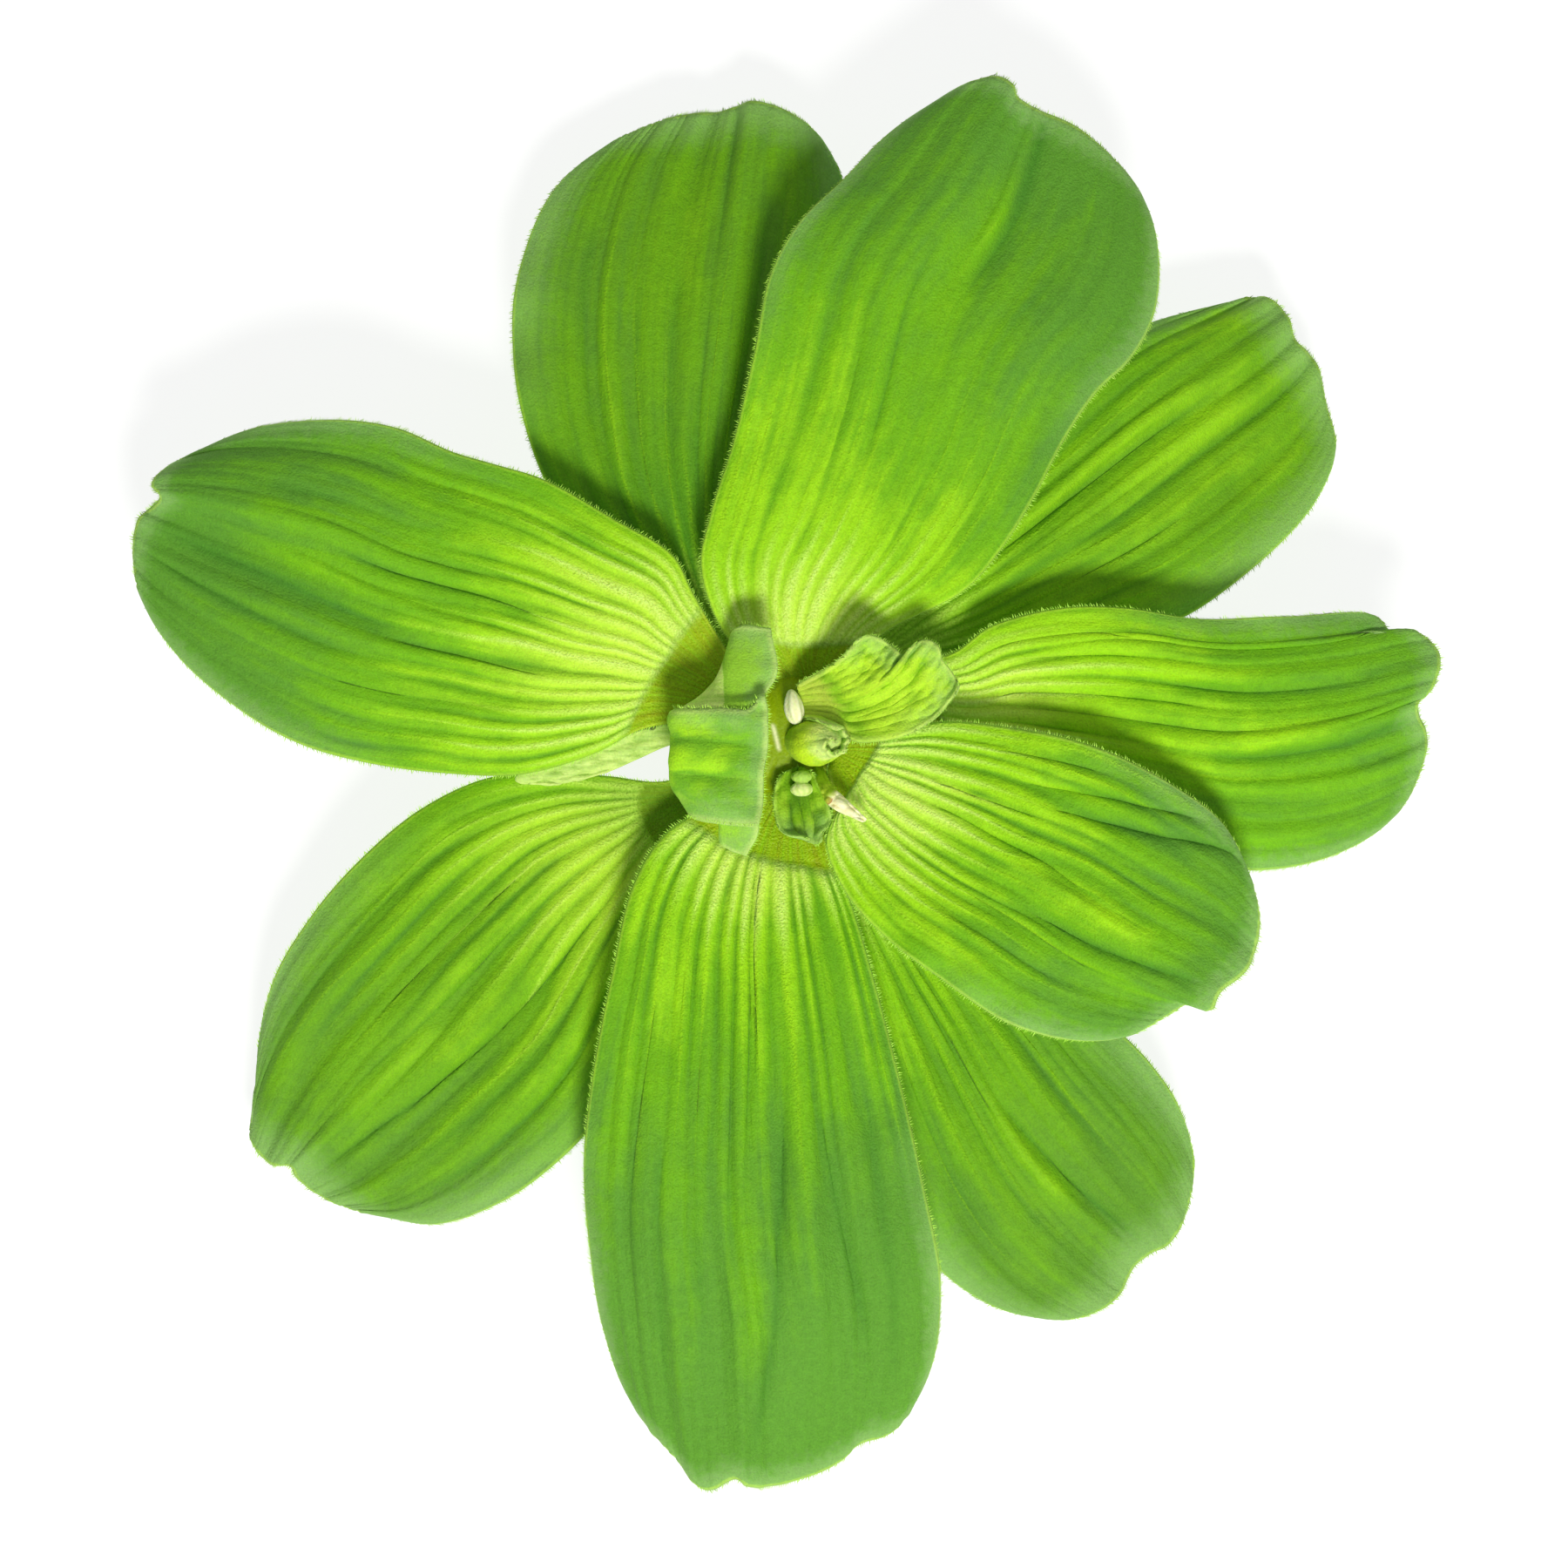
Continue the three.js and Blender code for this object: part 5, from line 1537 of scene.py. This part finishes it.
def make_closed(name, rings, poles, masks, material):
    """A closed body from rings of points in mm, with a pole past each end."""
    count, width = rings.shape[:2]
    points = np.concatenate([rings.reshape(-1, 3), poles]) * MM
    column = np.arange(width)
    after = (column + 1) % width
    start = (np.arange(count - 1) * width)[:, None]
    a, b = (start + column).ravel(), (start + after).ravel()
    first, last, top = count * width, count * width + 1, (count - 1) * width
    faces = np.stack([a, b, b + width, a + width], 1).tolist()
    faces += np.stack([np.full(width, first), after, column], 1).tolist()
    faces += np.stack([np.full(width, last), top + column, top + after], 1).tolist()
    piece = make_object(name, points, faces, material)
    for mask, values in masks.items():
        values = np.broadcast_to(values, (count, width))
        store(piece.data, mask, np.concatenate([values.ravel(), [values[0].mean(), values[-1].mean()]]))
    return piece


def body_along_y(centre, size, width_at, lean, ribs):
    """Rings and ends of a small body along Y, its ribs from 0 to 1, and the share along of each ring."""
    u = np.linspace(0.01, 0.99, BODY_ROWS)[:, None]
    angle = np.linspace(0, math.tau, BODY_COLUMNS, endpoint=False)[None, :]
    number, depth = ribs
    ridge = np.cos(number * angle + 2 * np.sin(3 * u)) * depth * np.sqrt(np.clip(width_at(u), 0, 1))
    reach = width_at(u) * (1 + ridge)
    x = centre[0] + size[0] / 2 * reach * np.sin(angle) + lean * (u - 0.5)
    y = centre[1] + size[1] * (u - 0.5) + 0 * angle
    z = centre[2] + size[2] / 2 * reach * np.cos(angle) + ROSETTE_HEIGHT
    ends = [
        (centre[0] + lean * side, centre[1] + size[1] * side, centre[2] + ROSETTE_HEIGHT)
        for side in (-0.5, 0.5)
    ]
    return np.dstack([x, y, z]), ends, 0.5 + ridge / (2 * depth), u


def spathe_width(u):
    return np.sin(math.pi * u**0.8) ** 0.5


def spadix_width(u):
    foot = np.sqrt(np.clip(1 - ((u - 0.28) / 0.29) ** 2, 0, 1))
    ring = 0.92 * np.sqrt(np.clip(1 - ((u - 0.76) / 0.25) ** 2, 0, 1))
    waist = 0.6 * np.exp(-(((u - 0.55) / 0.15) ** 2))
    return np.maximum(np.maximum(foot, ring), waist)


spathe_skin = dry_material(
    "white spathe", (1500.0, 240.0, 1500.0), 0.5, Ground=srgb(255, 255, 206), Second=srgb(246, 255, 178),
)
spadix_skin = dry_material(
    "spadix", (900.0, 500.0, 900.0), 0.5, Ground=srgb(222, 238, 150), Second=srgb(186, 216, 102),
    Spots=srgb(164, 206, 78),
)
rings, ends, ridge, _ = body_along_y((1.2, 4.2, 19.6), (2.9, 5.2, 3.8), spathe_width, -0.7, (7, 0.06))
spathe = make_closed("spathe_white_body", rings, ends, {"relief": 0.5 * ridge, "spotted": -1.0}, spathe_skin)
finish_piece(spathe, "spathe_white")
rings, ends, ridge, u = body_along_y((2.4, -7.1, 20.9), (3.3, 3.8, 2.6), spadix_width, 0.0, (9, 0.03))
spadix_masks = {"relief": 0.5 * ridge, "spotted": 0.9 * smoothstep(0.42, 0.58, u)}
spadix = make_closed("spadix_body", rings, ends, spadix_masks, spadix_skin)
finish_piece(spadix, "spadix")

# %% [markdown]
# The crown is a short stout stem. Each leaf that it has lost left a worn edge on it, so its side is ribbed
# and its top is smooth, with one pale scar. It is one more closed body, turned round the upright axis.

# %% Crown
CROWN_RADIUS = 10
CROWN_HEIGHT = 18
CROWN_RIBS = 30
CROWN_PROFILE = [
    (0.62, 0), (0.9, 0.14), (1, 0.35), (1, 0.62), (0.92, 0.8), (0.8, 0.9), (0.58, 0.97), (0.3, 1), (0.04, 1),
]
RIB_DEPTH = 0.35
SHOULDER_DEPTH = 0.25


def crown():
    u = np.linspace(0, 1, 90)
    angle = np.linspace(0, math.tau, 180, endpoint=False)[None, :]
    radius, height = (along(CROWN_PROFILE, u) * (CROWN_RADIUS, CROWN_HEIGHT)).T
    wander = 0.6 * np.sin(3 * angle + 4 * u[:, None])
    ribs = 0.5 + 0.5 * np.cos(CROWN_RIBS * angle + wander)
    relief = 0.7 * ribs + 0.3 * drift(2 * np.cos(angle) + u[:, None], 2 * np.sin(angle), 81)
    fade = smoothstep(0, 0.15, u)[:, None]
    shoulder = smoothstep(0.6, 0.8, u)[:, None]
    reach = radius[:, None] - RIB_DEPTH * fade * (1 - relief) * (1 - shoulder)
    sunken = SHOULDER_DEPTH * shoulder * (1 - relief) * smoothstep(3, 7, radius)[:, None]
    z = height[:, None] + ROSETTE_HEIGHT - sunken
    rings = np.dstack([reach * np.cos(angle), reach * np.sin(angle), z])
    ends = [(0, 0, ROSETTE_HEIGHT), (0, 0, ROSETTE_HEIGHT + CROWN_HEIGHT)]
    x, y = rings[..., 0], rings[..., 1]
    scar = np.exp(-(((x + 1.45 + 0.25 * y) / 0.3) ** 2)) * smoothstep(-2.6, -1.8, y) * smoothstep(2.0, 1.2, y)
    masks = {
        "relief": 0.35 + 0.3 * relief * (1 - shoulder),
        "spotted": 0.05 + 0.4 * smoothstep(0.5, 0, u)[:, None],
        "living": scar * shoulder,
    }
    return make_closed("crown_stem", rings, ends, masks, crown_skin)


crown_skin = dry_material(
    "crown", (520.0, 110.0, 200.0), 0.2, Ground=srgb(150, 176, 0), Second=srgb(110, 142, 4),
    Spots=srgb(84, 92, 14), Fresh=srgb(244, 246, 190),
)
finish_piece(crown(), "crown")

# %% [markdown]
# Rootlets on the roots and hairs on the margins are too many to place one by one, so Geometry Nodes set
# them along lines. Both trees take bare lines and their sizes, and share the steps below. What grows is
# kept as a plain mesh, because the export leaves instances out.


# %% Growing along lines
def growing_group(name, sizes):
    """A Geometry Nodes tree that takes lines, and its sizes in metres."""
    inputs = typed("Geometry", {"Geometry": None}) | typed("Float", sizes)
    return new_group(name, inputs, {"Geometry": "Geometry"}, "GeometryNodeTree")


def random_value(tree, low, high, seed, kind="FLOAT"):
    node = add_node(tree, "FunctionNodeRandomValue", data_type=kind)
    ends = [socket for socket in node.inputs if socket.enabled and socket.name in ("Min", "Max")]
    ends[0].default_value, ends[1].default_value = low, high
    node.inputs["Seed"].default_value = seed
    return next(socket for socket in node.outputs if socket.enabled)


def tapering_tube(tree, curve, radius, taper, sides):
    """A closed tube along a curve that loses a share of its radius towards the curve's end."""
    share = add_node(tree, "GeometryNodeSplineParameter").outputs["Factor"]
    scale = calc(tree, "MULTIPLY", calc(tree, "MULTIPLY_ADD", share, -taper, 1.0), radius)
    circle_sockets = {"Resolution": sides, "Radius": 1.0}
    circle = add_node(tree, "GeometryNodeCurvePrimitiveCircle", circle_sockets).outputs[0]
    sockets = {"Curve": curve, "Profile Curve": circle, "Scale": scale, "Fill Caps": True}
    return add_node(tree, "GeometryNodeCurveToMesh", sockets).outputs[0]


def spots_along(tree, curve, spacing):
    """A node that gives evenly spaced points on a curve, and the way the curve runs there."""
    return add_node(tree, "GeometryNodeCurveToPoints", {"Curve": curve, "Length": spacing}, mode="LENGTH")


def copies_on(tree, points, shape, rotation, size):
    """Real copies of a shape, one on each point."""
    sockets = {"Points": points, "Instance": shape, "Rotation": rotation, "Scale": size}
    placed = add_node(tree, "GeometryNodeInstanceOnPoints", sockets).outputs[0]
    return add_node(tree, "GeometryNodeRealizeInstances", {0: placed}).outputs[0]


def covered_in(tree, geometry, material):
    sockets = {"Geometry": geometry, "Material": material}
    return add_node(tree, "GeometryNodeSetMaterial", sockets).outputs[0]


def line_object(name, lines):
    """An object of bare edges in mm, one chain of edges for each line of points."""
    edges, start = [], 0
    for line in lines:
        edges += [(start + i, start + i + 1) for i in range(len(line) - 1)]
        start += len(line)
    mesh = bpy.data.meshes.new(name)
    mesh.from_pydata((np.concatenate(lines) * MM).tolist(), edges, [])
    return add_object(name, mesh)


def grow(name, source, tree, sizes):
    """Runs a Geometry Nodes tree on a source object and keeps what grows as a plain mesh."""
    modifier = source.modifiers.new("grow", "NODES")
    modifier.node_group = tree
    for item in tree.interface.items_tree:
        if item.name in sizes:
            modifier[item.identifier] = sizes[item.name]
    grown = bpy.data.meshes.new_from_object(source.evaluated_get(bpy.context.evaluated_depsgraph_get()))
    source.modifiers.remove(modifier)
    bpy.data.objects.remove(source)
    return add_object(name, grown)


print("margins that hairs will grow on:", len(HAIR_LINES))

# %% [markdown]
# The roots hang out of sight under the leaves, and the plant rests on them. One ring of strands follows
# the outline of the solid root mass and the others fill it. A node tree turns these paths into tapering
# strands and sets bent rootlets on them, turned and sized at random. Nothing may sink into the table, so
# the last step lifts every point that would.

# %% Roots
ROOT_HEIGHT = 14
ROOT_TOP_RADIUS = 9
ROOT_RADIUS = 20
ROOT_CENTRE = (6, 0.5)
ROOT_PROFILE = [(0, 1), (0.18, 0.93), (0.42, 0.72), (0.7, 0.42), (0.92, 0.16), (0.98, 0.03)]
OUTER_STRANDS = 34
INNER_STRANDS = 44
STRAND_RADIUS = 0.5
ROOT_SIZES = {
    "Strand radius": STRAND_RADIUS * MM,
    "Rootlet spacing": 0.32 * MM,
    "Rootlet length": 3.2 * MM,
    "Rootlet radius": 0.09 * MM,
}
ROOTLET_BEND = {"Resolution": 3, "Start": (0, 0, 0), "Middle": (0, 0.3, 0.5), "End": (0.25, 0.2, 1)}
TABLE_GAP = 0.05 * MM  # the least height of a root above the table


def root_lines():
    rng = np.random.default_rng(7)
    u = np.linspace(0, 1, 30)
    out, height = along(ROOT_PROFILE, u).T
    lines = []
    for number in range(OUTER_STRANDS + INNER_STRANDS):
        outer = number < OUTER_STRANDS
        depth = rng.uniform(0.92, 0.97) if outer else math.sqrt(rng.uniform(0.03, 0.7))
        share = number / OUTER_STRANDS if outer else rng.uniform()
        angle = math.tau * share + 0.14 * drift(u * 1.2, u * 0, 200 + number) * u
        lobes = 0.06 * np.sin(3 * angle + 0.6) + 0.04 * np.sin(7 * angle + 2.1)
        reach = (ROOT_TOP_RADIUS + (ROOT_RADIUS - ROOT_TOP_RADIUS) * out) * (1 + lobes * out) * depth
        lift = np.maximum(height * ROOT_HEIGHT - 0.5, STRAND_RADIUS)
        x = ROOT_CENTRE[0] * out + reach * np.cos(angle)
        y = ROOT_CENTRE[1] * out + reach * np.sin(angle)
        lines.append(np.stack([x, y, lift], 1))
    return lines


def kept_above_table(tree, geometry):
    position = add_node(tree, "GeometryNodeInputPosition").outputs[0]
    parts = add_node(tree, "ShaderNodeSeparateXYZ", {0: position}).outputs
    above = calc(tree, "MAXIMUM", parts["Z"], TABLE_GAP)
    place = add_node(tree, "ShaderNodeCombineXYZ", {0: parts["X"], 1: parts["Y"], 2: above}).outputs[0]
    sockets = {"Geometry": geometry, "Position": place}
    return add_node(tree, "GeometryNodeSetPosition", sockets).outputs[0]


def root_tree(material):
    tree, given, result = growing_group("Roots", ROOT_SIZES)
    curve = add_node(tree, "GeometryNodeMeshToCurve", {"Mesh": given["Geometry"]}).outputs[0]
    strands = tapering_tube(tree, curve, given["Strand radius"], 0.55, 7)

    arc = add_node(tree, "GeometryNodeCurveQuadraticBezier", ROOTLET_BEND).outputs[0]
    width = calc(tree, "DIVIDE", given["Rootlet radius"], given["Rootlet length"])
    rootlet = tapering_tube(tree, arc, width, 0.7, 3)
    spots = spots_along(tree, curve, given["Rootlet spacing"])
    lean = random_value(tree, (0.7, 0.0, 0.0), (1.4, 0.0, math.tau), 3, "FLOAT_VECTOR")
    lean = add_node(tree, "FunctionNodeEulerToRotation", {0: lean}).outputs[0]
    sockets = {"Rotation": spots.outputs["Rotation"], "Rotate By": lean}
    turned = add_node(tree, "FunctionNodeRotateRotation", sockets, rotation_space="LOCAL").outputs[0]
    size = calc(tree, "MULTIPLY", random_value(tree, 0.35, 1.0, 4), given["Rootlet length"])
    rootlets = copies_on(tree, spots.outputs["Points"], rootlet, turned, size)

    joined = add_node(tree, "GeometryNodeJoinGeometry")
    for part in (strands, rootlets):
        tree.links.new(part, joined.inputs[0])
    resting = kept_above_table(tree, joined.outputs[0])
    smooth = add_node(tree, "GeometryNodeSetShadeSmooth", {0: resting}).outputs[0]
    tree.links.new(covered_in(tree, smooth, material), result["Geometry"])
    return tree


def root_material():
    """Pale where the roots leave the crown and brown at their ends."""
    material, tree, shader = new_material("root fibre")
    place = add_node(tree, "ShaderNodeTexCoord").outputs["Object"]
    z = add_node(tree, "ShaderNodeSeparateXYZ", {0: place}).outputs["Z"]
    blotch = fine_noise(tree, place, 300.0, 4.0)
    depth = remap(tree, z, 12 * MM, 2 * MM)
    brown_part = calc(tree, "ADD", depth, calc(tree, "MULTIPLY", blotch, 1.6), clamp=True)
    fill(tree, shader, {
        "Base Color": mix_colour(tree, brown_part, srgb(206, 204, 150), srgb(120, 96, 66)),
        "Roughness": calc(tree, "MULTIPLY_ADD", blotch, 0.5, 0.6),
        "Normal": bumped(tree, blotch, 0.1 * MM, 0.6),
    })
    return material


roots = grow("root_strands", line_object("root paths", root_lines()), root_tree(root_material()), ROOT_SIZES)
finish_piece(roots, "root_mass")

# %% [markdown]
# Fine pale hairs fringe every green margin, where the photograph shows them against what lies behind. The
# rim of each sheet is a closed line that carries its outward direction, and a second tree sets small
# cones on it, spread at random round that direction. Real hairs let light through. The cones take their
# light as if they faced straight up, which is quicker and makes them as bright as the leaf they fringe.

# %% Margin hairs
HAIR_SIZES = {"Spacing": 0.36 * MM, "Length": 0.75 * MM, "Radius": 0.13 * MM}
HAIR_LEAN = 0.5  # how far a hair may lean out of its outward direction
SHORTEST_HAIR = 0.4  # as a share of the longest
HAIR_SIDES = 3


def hair_tree(material):
    tree, given, result = growing_group("Margin hairs", HAIR_SIZES)
    curve = add_node(tree, "GeometryNodeMeshToCurve", {"Mesh": given["Geometry"]}).outputs[0]
    spots = spots_along(tree, curve, given["Spacing"])
    outward = add_node(tree, "GeometryNodeInputNamedAttribute", {"Name": "outward"}, data_type="FLOAT_VECTOR")
    lean = random_value(tree, (-HAIR_LEAN,) * 3, (HAIR_LEAN,) * 3, 5, "FLOAT_VECTOR")
    sockets = {0: outward.outputs[0], 1: lean}
    direction = add_node(tree, "ShaderNodeVectorMath", sockets, operation="ADD").outputs[0]
    turned = add_node(tree, "FunctionNodeAlignRotationToVector", {"Vector": direction}, axis="Z").outputs[0]
    cone_sockets = {
        "Vertices": HAIR_SIDES,
        "Radius Top": 0.0,
        "Radius Bottom": calc(tree, "DIVIDE", given["Radius"], given["Length"]),
        "Depth": 1.0,
    }
    cone = add_node(tree, "GeometryNodeMeshCone", cone_sockets).outputs["Mesh"]
    size = calc(tree, "MULTIPLY", random_value(tree, SHORTEST_HAIR, 1.0, 6), given["Length"])
    grown = copies_on(tree, spots.outputs["Points"], cone, turned, size)
    tree.links.new(covered_in(tree, grown, material), result["Geometry"])
    return tree


def hair_material():
    material, tree, shader = new_material("hair")
    place = add_node(tree, "ShaderNodeTexCoord").outputs["Object"]
    tone = calc(tree, "MULTIPLY_ADD", fine_noise(tree, place, 900.0), 1.6, 0.5, clamp=True)
    fill(tree, shader, {
        "Base Color": mix_colour(tree, tone, srgb(160, 226, 60), srgb(200, 246, 104)),
        "Roughness": 0.6,
        "Specular IOR Level": 0.1,
        "Normal": add_node(tree, "ShaderNodeCombineXYZ", {2: 1.0}).outputs[0],
    })
    return material


def hair_source(lines):
    """One object of lines that carries each point's hair direction."""
    source = line_object("hair lines", [points for points, _ in lines])
    directions = source.data.attributes.new("outward", "FLOAT_VECTOR", "POINT")
    outward = np.concatenate([outward for _, outward in lines])
    directions.data.foreach_set("vector", outward.astype(np.float32).ravel())
    return source


hairs = grow("margin_hairs", hair_source(HAIR_LINES), hair_tree(hair_material()), HAIR_SIZES)
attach(hairs, "root")
print("hairs:", len(hairs.data.polygons) // (HAIR_SIDES + 1))
